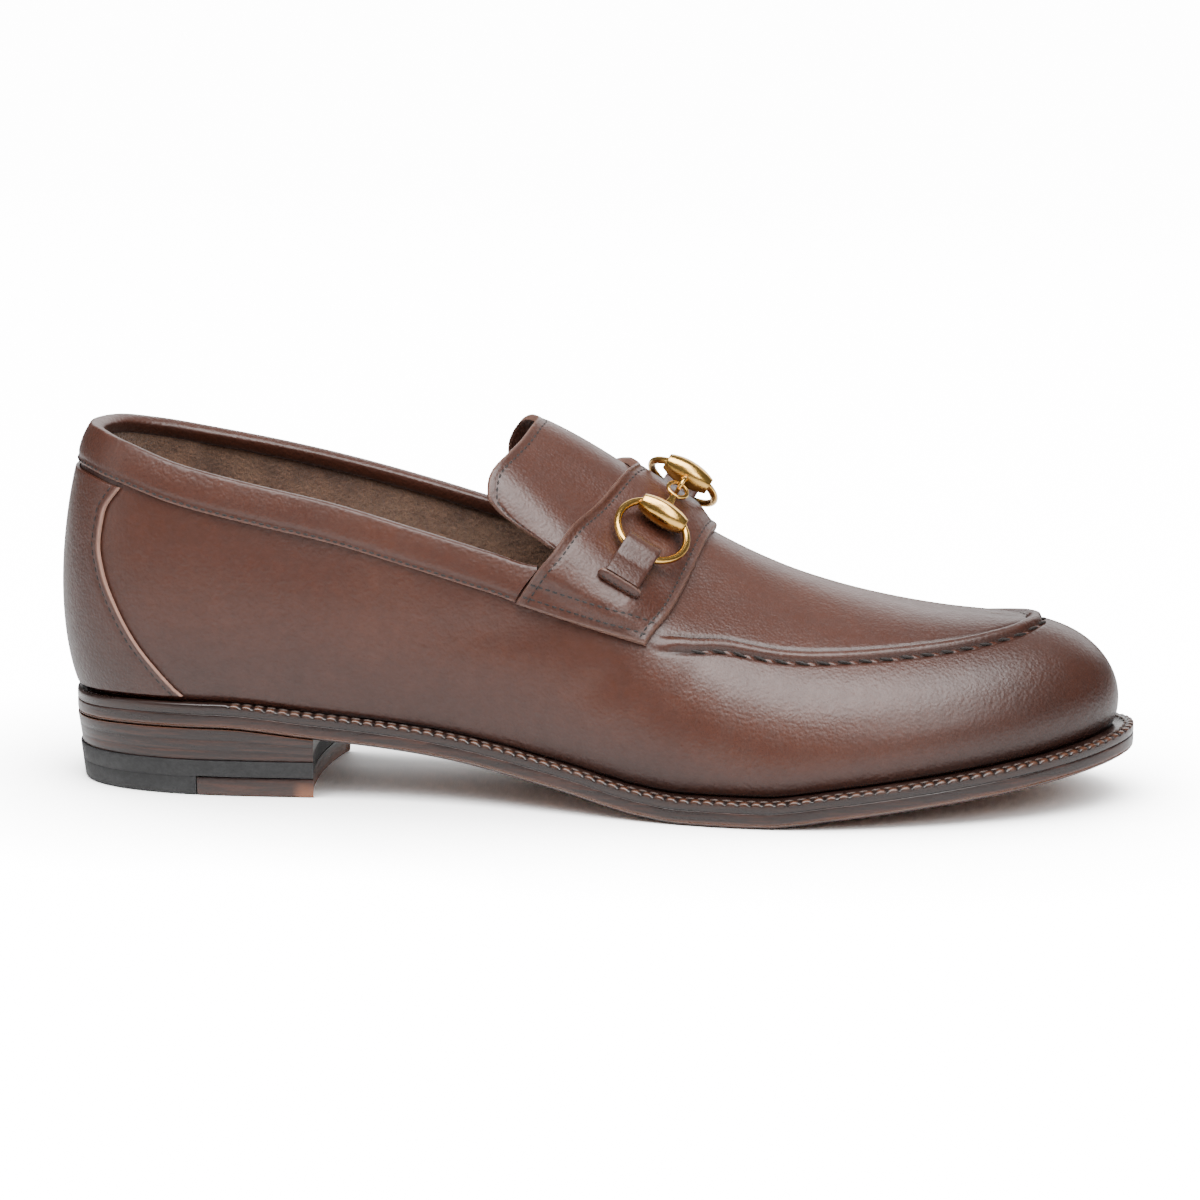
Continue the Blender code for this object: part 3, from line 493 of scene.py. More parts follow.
def quads(index: Array) -> Array:
    """Quads between neighbours of a grid of vertex numbers, facing rows crossed with columns."""
    corners = (index[:-1, :-1], index[1:, :-1], index[1:, 1:], index[:-1, 1:])
    return np.stack(corners, axis=-1).reshape(-1, 4)


def closed(index: Array, rows: bool = True, columns: bool = False) -> Array:
    """Grid of vertex numbers with its first row or column repeated at its end.

    Args:
        index: grid of vertex numbers.
        rows: whether the first row is repeated.
        columns: whether the first column is repeated.

    Returns:
        The longer grid.
    """
    if rows:
        index = np.concatenate((index, index[:1]))
    if columns:
        index = np.concatenate((index, index[:, :1]), axis=1)
    return index


def mirror_cap(ring: Array) -> list:
    """Close a ring whose two halves mirror each other from its first point on.

    Pairs of mirrored points are joined by quads, with a triangle at both ends.

    Args:
        ring: vertex numbers round the ring, an even count.

    Returns:
        The faces, turned as the ring is.
    """
    far = np.roll(ring[::-1], 1)
    half = len(ring) // 2
    here = np.arange(1, half - 1)
    faces = np.column_stack((ring[here], far[here], far[here + 1], ring[here + 1])).tolist()
    ends = np.array(((ring[0], far[1], ring[1]), (ring[half - 1], far[half - 1], ring[half])))
    return faces + ends.tolist()


@dataclass
class Shape:
    """Points and faces of a mesh in the making, with values painted on its points."""

    points: Array
    faces: list
    paint: dict[str, Array]

    @staticmethod
    def of(points: Array, faces: Array, **paint: Array) -> "Shape":
        """Shape from arrays of any grid shape."""
        flat = {name: np.asarray(values, dtype=float).reshape(-1) for name, values in paint.items()}
        return Shape(np.asarray(points).reshape(-1, 3), np.asarray(faces).tolist(), flat)

    def add(self, other: "Shape") -> "Shape":
        """Join another shape to this one, keeping both paints.

        Args:
            other: the shape to add.

        Returns:
            The joined shape.
        """
        start = len(self.points)
        faces = self.faces + [[corner + start for corner in face] for face in other.faces]
        paint = {}
        for name in set(self.paint) | set(other.paint):
            mine = self.paint.get(name, np.zeros(start))
            theirs = other.paint.get(name, np.zeros(len(other.points)))
            paint[name] = np.concatenate((mine, theirs))
        return Shape(np.concatenate((self.points, other.points)), faces, paint)

    def placed(self, axes: Array, origin: Array) -> "Shape":
        """The same shape, taken from a frame's own axes to its place."""
        return Shape(self.points @ axes + origin, self.faces, self.paint)


def joined(shapes: list[Shape]) -> Shape:
    """Several shapes as one."""
    return reduce(Shape.add, shapes)


def make_piece(name: str, shape: Shape, material: bpy.types.Material, body: str,
               replaced: tuple[str, ...] = (), sharp: float = 50.0) -> bpy.types.Object:
    """Turn a shape into a piece that rides on a body.

    Args:
        name: the piece's name.
        shape: its points, measured from the back of the heel, faces and paint.
        material: its finish.
        body: the body that it rides on.
        replaced: the nodes that it stands for.
        sharp: angle in degrees past which an edge stays sharp.

    Returns:
        The new object, at the origin, with its place in its mesh.
    """
    mesh = bpy.data.meshes.new(name)
    moved = shape.points - np.array((HEEL_REST_REACH, 0.0, 0.0))
    mesh.from_pydata(moved.tolist(), [], shape.faces)
    for title, values in shape.paint.items():
        layer = mesh.attributes.new(title, "FLOAT", "POINT")
        layer.data.foreach_set("value", values.astype(np.float32))
    work = bmesh.new()
    work.from_mesh(mesh)
    bmesh.ops.remove_doubles(work, verts=work.verts, dist=MERGE)
    bmesh.ops.dissolve_degenerate(work, edges=work.edges, dist=MERGE / 10)
    work.to_mesh(mesh)
    work.free()
    mesh.shade_smooth()
    mesh.set_sharp_from_angle(angle=math.radians(sharp))
    mesh.materials.append(material)
    piece = bpy.data.objects.new(name, mesh)
    bpy.context.scene.collection.objects.link(piece)
    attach(piece, body)
    if replaced:
        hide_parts(*replaced)
    LOG.info("%s: %d faces on %s", name, len(mesh.polygons), body)
    return piece


def give_wall(piece: bpy.types.Object, thickness: float) -> None:
    """Give a sheet its thickness, inwards from its face.

    Args:
        piece: the sheet's object.
        thickness: how thick it becomes.
    """
    wall = piece.modifiers.new("Wall", "SOLIDIFY")
    wall.thickness = thickness
    wall.offset = -1


def rim_distances(grid: Array) -> Array:
    """Distances of a grid's points from its four rims, along its rows and columns, in Rim's order.

    Args:
        grid: points by row and column.

    Returns:
        One table of distances for each rim.
    """
    tables = []
    for axis in (0, 1):
        steps = np.linalg.norm(np.diff(grid, axis=axis), axis=-1)
        start = np.zeros_like(np.take(steps, [0], axis=axis))
        run = np.concatenate((start, np.cumsum(steps, axis=axis)), axis=axis)
        tables += [run, np.take(run, [-1], axis=axis) - run]
    return np.stack(tables)


def clustered(count: int, cluster: float = 0.012) -> Array:
    """Shares from 0 to 1, evenly spaced but with a few more close to both ends.

    Args:
        count: how many shares the even part has.
        cluster: width of the crowded ends.

    Returns:
        The rising shares.
    """
    ends = cluster * np.array((0.0, 0.06, 0.25, 0.55, 1.0))
    middle = np.linspace(cluster, 1 - cluster, count)[1:-1]
    return np.concatenate((ends, middle, 1 - ends[::-1]))


def rounded(distance: Array, radius: float) -> Array:
    """Quarter round: 0 at the rim and 1 from the radius on, sqrt(1 - (1 - d/r)²)."""
    return np.sqrt(1 - (1 - np.clip(distance / radius, 0, 1)) ** 2)


def slab(base: Array, normals: Array, height: Array, **paint: Array) -> Shape:
    """Close the space between a grid and the same grid raised along its normals.

    Both share their rim, where the height is 0, so the solid has rounded edges and no gap.

    Args:
        base: grid of points of the lower face, rows crossed with columns facing outwards.
        normals: outward normals of the grid.
        height: how far the upper face is raised.
        paint: values painted on the upper face and repeated on the lower.

    Returns:
        The closed shape.
    """
    rows, columns = base.shape[:2]
    top = base + normals * height[..., None]
    index = numbered(base)
    low = index.copy()
    inner = (rows - 2) * (columns - 2)
    low[1:-1, 1:-1] = rows * columns + np.arange(inner).reshape(rows - 2, columns - 2)
    points = np.concatenate((top.reshape(-1, 3), base[1:-1, 1:-1].reshape(-1, 3)))
    faces = np.concatenate((quads(index), quads(low)[:, ::-1]))
    values = {name: np.concatenate((grid.reshape(-1), grid[1:-1, 1:-1].reshape(-1)))
              for name, grid in paint.items()}
    return Shape.of(points, faces, **values)


def tube(sections: Array, wrap: bool = False, **paint: Array) -> Shape:
    """Skin round a row of closed sections.

    Args:
        sections: points by section and by corner; along crossed with round faces outwards.
        wrap: whether the last section joins the first; if not, both ends are closed.
        paint: values by section and by corner.

    Returns:
        The closed shape.
    """
    rows, columns = sections.shape[:2]
    index = closed(numbered(sections), rows=wrap, columns=True)
    shape = Shape.of(sections, quads(index), **paint)
    if not wrap:
        shape.faces.append(list(range(columns)))
        shape.faces.append(list(range(rows * columns - 1, (rows - 1) * columns - 1, -1)))
    return shape


def line_at(grid: Array, distances: Array, rim: Rim, inset: float) -> Array:
    """Read a grid's values along the line that keeps an inset from one of its rims.

    Args:
        grid: values by row, column and component.
        distances: the grid's rim distances.
        rim: the rim that the line follows.
        inset: its distance from that rim.

    Returns:
        One value for each row or column that the line crosses.
    """
    table = distances[rim.value]
    if rim in (Rim.FIRST_ROW, Rim.LAST_ROW):
        table = table.T
        grid = np.swapaxes(grid, 0, 1)
    if rim in (Rim.LAST_ROW, Rim.LAST_COLUMN):
        table = table[:, ::-1]
        grid = grid[:, ::-1]
    upper = np.clip(np.sum(table < inset, axis=1), 1, table.shape[1] - 1)[:, None]
    low = np.take_along_axis(table, upper - 1, axis=1)
    high = np.take_along_axis(table, upper, axis=1)
    share = np.clip((inset - low) / np.maximum(high - low, 1e-9), 0, 1)[..., None]
    before = np.take_along_axis(grid, (upper - 1)[..., None], axis=1)
    after = np.take_along_axis(grid, upper[..., None], axis=1)
    return (before * (1 - share) + after * share)[:, 0]


def beads(centres: Array, along: Array, normals: Array, size: tuple[float, float, float],
          rings: int = 5, sides: int = 6) -> Shape:
    """Repeat an ellipsoid at many places.

    Args:
        centres: the centres.
        along: directions of the long axes.
        normals: directions that point off the surface.
        size: half axes along, across and off the surface.
        rings: rings of points from pole to pole.
        sides: points round each ring.

    Returns:
        All the ellipsoids as one shape.
    """
    down, around = np.meshgrid(np.linspace(0, math.pi, rings), turns(sides), indexing="ij")
    grid = np.stack((-np.cos(down), np.sin(down) * np.cos(around), np.sin(down) * np.sin(around)), axis=-1)
    ball = grid.reshape(-1, 3)
    along = unit(along)
    across = unit(np.cross(normals, along))
    off = np.cross(along, across)
    frame_axes = np.stack((along * size[0], across * size[1], off * size[2]), axis=1)
    points = centres[:, None, :] + np.einsum("pk,nkc->npc", ball, frame_axes)
    face = quads(closed(numbered(grid), rows=False, columns=True))[:, ::-1]
    starts = (np.arange(len(centres)) * rings * sides)[:, None, None]
    return Shape.of(points, (face[None] + starts).reshape(-1, 4))


def along_path(path: Array, normals: Array, pitch: float, start: float = 0.0,
               stop: float = 0.0) -> tuple[Array, Array, Array]:
    """Space places evenly along a path.

    Args:
        path: points of the path.
        normals: normals at those points.
        pitch: distance between places.
        start: length left free at the start.
        stop: length left free at the end.

    Returns:
        Centres, directions and normals at the places.
    """
    steps = np.linalg.norm(np.diff(path, axis=0), axis=-1)
    run = np.concatenate(([0.0], np.cumsum(steps)))
    room = run[-1] - start - stop
    count = max(int(room / pitch), 1)
    at = start + (np.arange(count) + 0.5) * room / count

    def read(values: Array, where: Array) -> Array:
        """Values interpolated along the path's length."""
        return np.stack([np.interp(where, run, values[:, axis]) for axis in range(3)], axis=-1)

    nearby = pitch / 4
    direction = read(path, at + nearby) - read(path, at - nearby)
    return read(path, at), unit(direction), unit(read(normals, at))


@dataclass(frozen=True)
class Thread:
    """A row of stitches: pitch, half axes of one stitch and how deep it sits."""

    pitch: float = 0.0021
    half_length: float = 0.00080
    half_width: float = 0.00033
    half_height: float = 0.00024
    sink: float = 0.00004

    def row(self, path: Array, normals: Array, start: float = 0.0, stop: float = 0.0,
            slant: float = 0.0) -> Shape:
        """Stitches along a path.

        Args:
            path: points on the leather's face.
            normals: its normals there.
            start: length left free at the start.
            stop: length left free at the end.
            slant: turn of each stitch from the path, in degrees.

        Returns:
            The stitches as one shape.
        """
        centres, along, off = along_path(path, normals, self.pitch, start, stop)
        turn = math.radians(slant)
        along = along * math.cos(turn) + np.cross(off, along) * math.sin(turn)
        size = (self.half_length, self.half_width, self.half_height)
        return beads(centres - off * self.sink, along, off, size)

    def along_rim(self, face: tuple[Array, Array], far: Array, rim: Rim, inset: float,
                  free: float = 0.0, keep: slice = slice(None)) -> Shape:
        """Stitches that keep an inset from a rim.

        Args:
            face: grids of the face's points and normals.
            far: the grid's rim distances.
            rim: the rim that the row follows.
            inset: its distance from that rim.
            free: length left free at both ends.
            keep: the part of the line that is sewn.

        Returns:
            The stitches as one shape.
        """
        path, normals = (line_at(grid, far, rim, inset)[keep] for grid in face)
        return self.row(path, normals, free, free)


class Graph:
    """A material's or a group's nodes, with short calls to add and link them."""

    def __init__(self, tree: bpy.types.NodeTree) -> None:
        """Keep the tree."""
        self.tree = tree

    def add(self, kind: str, inputs: dict | None = None, **settings: object) -> bpy.types.Node:
        """Add a node.

        Args:
            kind: its type without the ShaderNode prefix.
            inputs: values or sockets by input name or number.
            settings: properties of the node.

        Returns:
            The node.
        """
        node = self.tree.nodes.new("ShaderNode" + kind)
        for key, value in settings.items():
            setattr(node, key, value)
        for key, value in (inputs or {}).items():
            self.feed(node.inputs[key], value)
        return node

    def feed(self, socket: bpy.types.NodeSocket, value: object) -> None:
        """Link a socket to an input, or set the input's own value.

        Args:
            socket: the input.
            value: the socket or value that it gets.
        """
        if isinstance(value, bpy.types.NodeSocket):
            self.tree.links.new(value, socket)
        elif isinstance(value, tuple) and len(value) == 3 and socket.type == "RGBA":
            socket.default_value = (*value, 1.0)
        else:
            socket.default_value = value

    def math(self, operation: str, first: object, second: object = 0.0,
             clamp: bool = False) -> bpy.types.NodeSocket:
        """Result of a Math node.

        Args:
            operation: the node's operation.
            first: first socket or value.
            second: second socket or value.
            clamp: whether the result stays in 0 to 1.

        Returns:
            The node's result.
        """
        node = self.add("Math", operation=operation, use_clamp=clamp)
        self.feed(node.inputs[0], first)
        self.feed(node.inputs[1], second)
        return node.outputs[0]

    def mix(self, factor: object, first: object, second: object) -> bpy.types.NodeSocket:
        """Result of a Mix node on colours.

        Args:
            factor: share of the second colour.
            first: first socket or value.
            second: second socket or value.

        Returns:
            The mixed colour.
        """
        node = self.add("Mix", data_type="RGBA")
        self.feed(node.inputs[0], factor)
        self.feed(node.inputs[6], first)
        self.feed(node.inputs[7], second)
        return node.outputs[2]

    def ramp(self, value: object, low: float, high: float, bottom: float = 0.0,
             top: float = 1.0) -> bpy.types.NodeSocket:
        """Value mapped smoothly from one range to another.

        Args:
            value: the socket or value to map.
            low: start of the range.
            high: end of the range.
            bottom: result at the start.
            top: result at the end.

        Returns:
            The mapped value.
        """
        node = self.add("MapRange", interpolation_type="SMOOTHSTEP")
        for number, item in enumerate((value, low, high, bottom, top)):
            self.feed(node.inputs[number], item)
        return node.outputs[0]

    def paint(self, name: str) -> bpy.types.NodeSocket:
        """Value painted on the piece's points."""
        return self.add("Attribute", attribute_name=name).outputs["Fac"]

    def place(self) -> bpy.types.NodeSocket:
        """Object coordinates."""
        return self.add("TexCoord").outputs["Object"]

    def dress(self, shader: bpy.types.Node, colour: object, roughness: object, height: object,
              distance: float, strength: float = 1.0) -> None:
        """Feed a Principled shader.

        Args:
            shader: the shader.
            colour: its base colour.
            roughness: its roughness.
            height: height of the bump on its normal.
            distance: depth of that bump.
            strength: share of the bump that shows.
        """
        bump = self.add("Bump", {"Height": height, "Distance": distance, "Strength": strength})
        self.feed(shader.inputs["Base Color"], colour)
        self.feed(shader.inputs["Roughness"], roughness)
        self.feed(shader.inputs["Normal"], bump.outputs[0])


def make_group(name: str, inputs: dict[str, float], outputs: tuple[str, ...]) -> tuple[Graph, dict, dict]:
    """Start a shader group with named sockets.

    Args:
        name: the group's name.
        inputs: float inputs with their defaults.
        outputs: float outputs.

    Returns:
        The group's graph, its input sockets by name and its output sockets by name.
    """
    tree = bpy.data.node_groups.new(name, "ShaderNodeTree")
    tree.interface.new_socket("Vector", in_out="INPUT", socket_type="NodeSocketVector")
    for title, value in inputs.items():
        socket = tree.interface.new_socket(title, in_out="INPUT", socket_type="NodeSocketFloat")
        socket.default_value = value
    for title in outputs:
        tree.interface.new_socket(title, in_out="OUTPUT", socket_type="NodeSocketFloat")
    entry = tree.nodes.new("NodeGroupInput")
    leave = tree.nodes.new("NodeGroupOutput")
    return Graph(tree), dict(entry.outputs.items()), dict(leave.inputs.items())


def grain_group() -> bpy.types.NodeTree:
    """Leather grain: small rounded cells broken up by noise, with fine hair lines over them."""
    graph, entry, leave = make_group("leather grain", {"Cell scale": 1050.0, "Line scale": 380.0},
                                     ("Height", "Mask"))
    warp = graph.add("TexNoise", {"Vector": entry["Vector"], "Scale": 300.0, "Detail": 2.0}).outputs[1]
    bent = graph.add("VectorMath", {0: warp, 3: 0.0011}, operation="SCALE").outputs[0]
    warped = graph.add("VectorMath", {0: entry["Vector"], 1: bent}, operation="ADD").outputs[0]
    cells = graph.add("TexVoronoi", {"Vector": warped, "Scale": entry["Cell scale"], "Smoothness": 0.35},
                      feature="SMOOTH_F1")
    lines = graph.add("TexNoise", {"Vector": entry["Vector"], "Scale": entry["Line scale"],
                                   "Detail": 6.0, "Roughness": 0.7})
    rise = graph.math("MULTIPLY", cells.outputs[0], -0.6)
    graph.feed(leave["Height"], graph.math("ADD", rise, lines.outputs[0]))
    graph.feed(leave["Mask"], graph.ramp(lines.outputs[0], 0.35, 0.65))
    return graph.tree


# How many times finer the fine cloud of the dye is than the broad one.
FINE_CLOUD = 9.0


def mottle_group() -> bpy.types.NodeTree:
    """Uneven dye: a broad cloud and a finer one, both from 0 to 1."""
    graph, entry, leave = make_group("dye mottle", {"Scale": 22.0}, ("Broad", "Fine"))
    broad = graph.add("TexNoise", {"Vector": entry["Vector"], "Scale": entry["Scale"], "Detail": 3.0})
    finer = graph.math("MULTIPLY", entry["Scale"], FINE_CLOUD)
    fine = graph.add("TexNoise", {"Vector": entry["Vector"], "Scale": finer, "Detail": 5.0,
                                  "Roughness": 0.65})
    graph.feed(leave["Broad"], graph.ramp(broad.outputs[0], 0.30, 0.70))
    graph.feed(leave["Fine"], graph.ramp(fine.outputs[0], 0.30, 0.70))
    return graph.tree


class Effects:
    """Shader groups that several finishes share, each built once."""

    def __init__(self) -> None:
        """Build the groups."""
        self.grain = grain_group()
        self.mottle = mottle_group()

    def place(self, graph: Graph, tree: bpy.types.NodeTree, **values: float) -> bpy.types.Node:
        """Place a group on a material's Object coordinates, with its own values.

        Args:
            graph: the material's graph.
            tree: the group.
            values: values by input name, with _ for a space.

        Returns:
            The placed group's node.
        """
        node = graph.add("Group", node_tree=tree)
        graph.feed(node.inputs["Vector"], graph.place())
        for title, value in values.items():
            node.inputs[title.replace("_", " ").capitalize()].default_value = value
        return node


def start_material(name: str) -> tuple[bpy.types.Material, Graph, bpy.types.Node]:
    """New material with its graph and its Principled shader.

    Args:
        name: the material's name.

    Returns:
        Material, graph and shader.
    """
    material = bpy.data.materials.new(name)
    material.use_nodes = True
    graph = Graph(material.node_tree)
    return material, graph, material.node_tree.nodes["Principled BSDF"]


@dataclass(frozen=True)
class Calf:
    """Burnished calf: uneven brown dye, burnishing and painted shade, lighter raw edges, fine grain."""

    name: str = "calf leather"
    colour: tuple[float, float, float] = (0.056, 0.0160, 0.0080)
    light: tuple[float, float, float] = (0.076, 0.0240, 0.0125)
    dark: tuple[float, float, float] = (0.0145, 0.0045, 0.0028)
    edge: tuple[float, float, float] = (0.32, 0.18, 0.135)
    roughness: float = 0.40
    coat: float = 0.18
    grain_depth: float = 0.00016

    def build(self, effects: Effects) -> bpy.types.Material:
        """Build the material.

        Args:
            effects: the shared shader groups.

        Returns:
            The material.
        """
        material, graph, shader = start_material(self.name)
        dye = effects.place(graph, effects.mottle, scale=24.0)
        grain = effects.place(graph, effects.grain)
        colour = graph.mix(graph.math("MULTIPLY", dye.outputs["Broad"], 0.6), self.colour, self.light)
        soft = graph.math("MULTIPLY", dye.outputs["Fine"], 0.14)
        colour = graph.mix(soft, colour, self.dark)
        # Darker where burnished and where shade is painted: seam grooves and stitch dents.
        burnish = graph.paint("burnish")
        uneven = graph.math("MULTIPLY", dye.outputs["Broad"], 0.25)
        burnish_and_shade_share = graph.math("MULTIPLY", burnish, graph.math("SUBTRACT", 1.0, uneven), clamp=True)
        colour = graph.mix(burnish_and_shade_share, colour, self.dark)
        colour = graph.mix(graph.paint("edge"), colour, self.edge)
        pores = graph.math("MULTIPLY", grain.outputs["Mask"], 0.14)
        colour = graph.mix(pores, colour, self.dark)
        patchy = graph.ramp(dye.outputs["Fine"], 0.0, 1.0, self.roughness - 0.02, self.roughness + 0.03)
        rough = graph.math("ADD", patchy, graph.math("MULTIPLY", graph.paint("edge"), 0.3))
        graph.dress(shader, colour, rough, grain.outputs["Height"], self.grain_depth)
        shader.inputs["Coat Weight"].default_value = self.coat
        shader.inputs["Coat Roughness"].default_value = 0.28
        shader.inputs["Specular IOR Level"].default_value = 0.42
        return material


@dataclass(frozen=True)
class Suede:
    """Napped lining: brushed tufts of lighter and darker brown, no gloss."""

    name: str = "suede lining"
    colour: tuple[float, float, float] = (0.235, 0.120, 0.070)
    light: tuple[float, float, float] = (0.280, 0.165, 0.102)
    dark: tuple[float, float, float] = (0.110, 0.054, 0.032)

    def build(self, effects: Effects) -> bpy.types.Material:
        """Build the material.

        Args:
            effects: the shared shader groups.

        Returns:
            The material.
        """
        material, graph, shader = start_material(self.name)
        nap = effects.place(graph, effects.mottle, scale=110.0)
        broad = effects.place(graph, effects.mottle, scale=35.0)
        colour = graph.mix(nap.outputs["Broad"], self.dark, self.colour)
        lit = graph.math("MULTIPLY", broad.outputs["Broad"], 0.6)
        colour = graph.mix(lit, colour, self.light)
        speckle = graph.math("MULTIPLY", nap.outputs["Fine"], 0.45)
        colour = graph.mix(speckle, colour, self.dark)
        shader.inputs["Specular IOR Level"].default_value = 0.15
        shader.inputs["Sheen Weight"].default_value = 0.35
        shader.inputs["Sheen Roughness"].default_value = 0.6
        height = graph.math("ADD", nap.outputs["Broad"], nap.outputs["Fine"])
        graph.dress(shader, colour, 0.95, height, 0.0004, 0.8)
        return material


@dataclass(frozen=True)
class WaxedEdge:
    """Waxed leather edge: dark dye with brown showing in streaks along the layers."""

    name: str = "waxed sole edge"
    colour: tuple[float, float, float] = (0.0135, 0.0058, 0.0045)
    streak: tuple[float, float, float] = (0.052, 0.0185, 0.0115)
    seam: tuple[float, float, float] = (0.005, 0.003, 0.0027)
    worn: tuple[float, float, float] = (0.25, 0.095, 0.045)
    roughness: float = 0.32
    streak_share: float = 0.70

    def build(self, effects: Effects) -> bpy.types.Material:
        """Build the material.

        Args:
            effects: the shared shader groups.

        Returns:
            The material.
        """
        material, graph, shader = start_material(self.name)
        squeeze = graph.add("Mapping", {"Vector": graph.place(), "Scale": (1.0, 1.0, 14.0)})
        fibres = graph.add("TexNoise", {"Vector": squeeze.outputs[0], "Scale": 55.0, "Detail": 6.0,
                                        "Roughness": 0.62}).outputs[0]
        shown = graph.ramp(fibres, 0.42, 0.68, 0.0, self.streak_share)
        colour = graph.mix(shown, self.colour, self.streak)
        # Worn parts lighter, joints darker; the welt's wheel marks add painted highlight and painted shade.
        colour = graph.mix(graph.paint("worn"), colour, self.worn)
        colour = graph.mix(graph.paint("seam"), colour, self.seam)
        rough = graph.ramp(fibres, 0.3, 0.7, self.roughness - 0.06, self.roughness + 0.12)
        shader.inputs["Coat Weight"].default_value = 0.20
        shader.inputs["Coat Roughness"].default_value = 0.25
        shader.inputs["Specular IOR Level"].default_value = 0.4
        fine = effects.place(graph, effects.grain, cell_scale=1500.0)
        height = graph.math("ADD", fibres, graph.math("MULTIPLY", fine.outputs["Height"], 0.25))
        graph.dress(shader, colour, rough, height, 0.00016, 0.7)
        return material


@dataclass(frozen=True)
class SoleLeather:
    """Underside of the outsole: smooth tan-brown leather with uneven darker stains."""

    name: str = "outsole bottom leather"
    colour: tuple[float, float, float] = (0.20, 0.088, 0.040)
    stain: tuple[float, float, float] = (0.070, 0.027, 0.014)

    def build(self, effects: Effects) -> bpy.types.Material:
        """Build the material.

        Args:
            effects: the shared shader groups.

        Returns:
            The material.
        """
        material, graph, shader = start_material(self.name)
        dye = effects.place(graph, effects.mottle, scale=30.0)
        grain = effects.place(graph, effects.grain, cell_scale=1300.0)
        colour = graph.mix(graph.math("MULTIPLY", dye.outputs["Broad"], 0.4), self.colour, self.stain)
        colour = graph.mix(graph.math("MULTIPLY", dye.outputs["Fine"], 0.2), colour, self.stain)
        rough = graph.ramp(dye.outputs["Fine"], 0.0, 1.0, 0.38, 0.52)
        graph.dress(shader, colour, rough, grain.outputs["Height"], 0.00008)
        return material


@dataclass(frozen=True)
class Plain:
    """A matt or half-matt finish with faint speckle: rubber, thread."""

    name: str
    colour: tuple[float, float, float]
    other: tuple[float, float, float]
    roughness: float
    speckle_scale: float = 600.0
    depth: float = 0.00005

    def build(self, effects: Effects) -> bpy.types.Material:
        """Build the material.

        Args:
            effects: the shared shader groups.

        Returns:
            The material.
        """
        material, graph, shader = start_material(self.name)
        speckle = effects.place(graph, effects.mottle, scale=self.speckle_scale / FINE_CLOUD)
        colour = graph.mix(speckle.outputs["Fine"], self.colour, self.other)
        rough = graph.ramp(speckle.outputs["Broad"], 0.0, 1.0, self.roughness - 0.05, self.roughness + 0.05)
        graph.dress(shader, colour, rough, speckle.outputs["Fine"], self.depth)
        return material


@dataclass(frozen=True)
class AntiqueBrass:
    """Polished brass with brown patina in hollows and in faint clouds, and painted shade under the barrels.
    """

    name: str = "antique brass"
    colour: tuple[float, float, float] = (0.78, 0.46, 0.125)
    patina: tuple[float, float, float] = (0.13, 0.060, 0.022)
    roughness: float = 0.19

    def build(self, effects: Effects) -> bpy.types.Material:
        """Build the material.

        Args:
            effects: the shared shader groups.

        Returns:
            The material.
        """
        material, graph, shader = start_material(self.name)
        cloud = effects.place(graph, effects.mottle, scale=160.0)
        faint = graph.math("MULTIPLY", cloud.outputs["Broad"], 0.16)
        # Hollows and the barrels' undersides (painted shade) darken and dull the brass.
        patina_and_shade_mask = graph.math("ADD", graph.paint("patina"), faint, clamp=True)
        shader.inputs["Metallic"].default_value = 1.0
        rough = graph.ramp(patina_and_shade_mask, 0.0, 1.0, self.roughness, 0.42)
        colour = graph.mix(patina_and_shade_mask, self.colour, self.patina)
        graph.dress(shader, colour, rough, cloud.outputs["Fine"], 0.00002, 0.5)
        return material


class Finishes:
    """All the finishes of the shoe."""

    def __init__(self) -> None:
        """Build every material once."""
        effects = Effects()
        self.calf = Calf().build(effects)
        self.overlay = Calf(name="overlay calf", grain_depth=0.00020, roughness=0.42).build(effects)
        self.suede = Suede().build(effects)
        self.edge = WaxedEdge().build(effects)
        self.welt = WaxedEdge(name="waxed welt", streak=(0.036, 0.016, 0.011), streak_share=0.5,
                              roughness=0.28).build(effects)
        self.lift = WaxedEdge(name="stacked heel lifts", colour=(0.0115, 0.0045, 0.0034),
                              streak=(0.044, 0.0150, 0.0090), streak_share=0.85).build(effects)
        self.bottom = SoleLeather().build(effects)
        self.rubber = Plain("black rubber", colour=(0.0080, 0.0080, 0.0084), other=(0.0150, 0.0150, 0.0156),
                            roughness=0.62).build(effects)
        self.thread = Plain("dark waxed thread", colour=(0.0065, 0.0038, 0.0032),
                            other=(0.015, 0.0085, 0.0065), roughness=0.60,
                            speckle_scale=4000.0).build(effects)
        self.welt_thread = Plain("welt thread", colour=(0.030, 0.016, 0.012), other=(0.075, 0.045, 0.034),
                                 roughness=0.45, speckle_scale=4000.0).build(effects)
        self.brass = AntiqueBrass().build(effects)


def burnish_at(points: Array, girth: Array) -> Array:
    """Darkening of the calf: at the toe, at the back and along the feather edge.

    Args:
        points: points measured from the back of the heel.
        girth: shares of the girth.

    Returns:
        Values from 0 to 1.
    """
    toe = smooth_step(0.225, 0.292, points[..., 0]) * 0.75
    heel = smooth_step(0.030, -0.004, points[..., 0]) * 0.45
    low = smooth_step(0.16, 0.0, girth) * 0.55
    return 1 - (1 - toe) * (1 - heel) * (1 - low)


def crease_depth(points: Array) -> Array:
    """Depth of all the soft troughs at points: each is a long bell, exp(-along² - across²).

    Args:
        points: points measured from the back of the heel.

    Returns:
        Depth at each point.
    """
    depth = np.zeros(points.shape[:-1])
    for place, girth, half_length, half_width, deep, slant in CREASES:
        at = np.array(place)
        centre = LAST.point(at, np.array(girth))
        nearby = 0.05
        ahead = unit(LAST.point(at + nearby, np.array(girth)) - centre)
        up = unit(LAST.point(at, np.array(girth + nearby)) - centre)
        turn = math.radians(slant)
        line = ahead * math.cos(turn) + up * math.sin(turn)
        offset = points - centre
        along = offset @ line
        across = np.linalg.norm(offset - along[..., None] * line, axis=-1)
        depth += deep / 1000 * np.exp(-(along * 1000 / half_length) ** 2 - (across * 1000 / half_width) ** 2)
    return depth


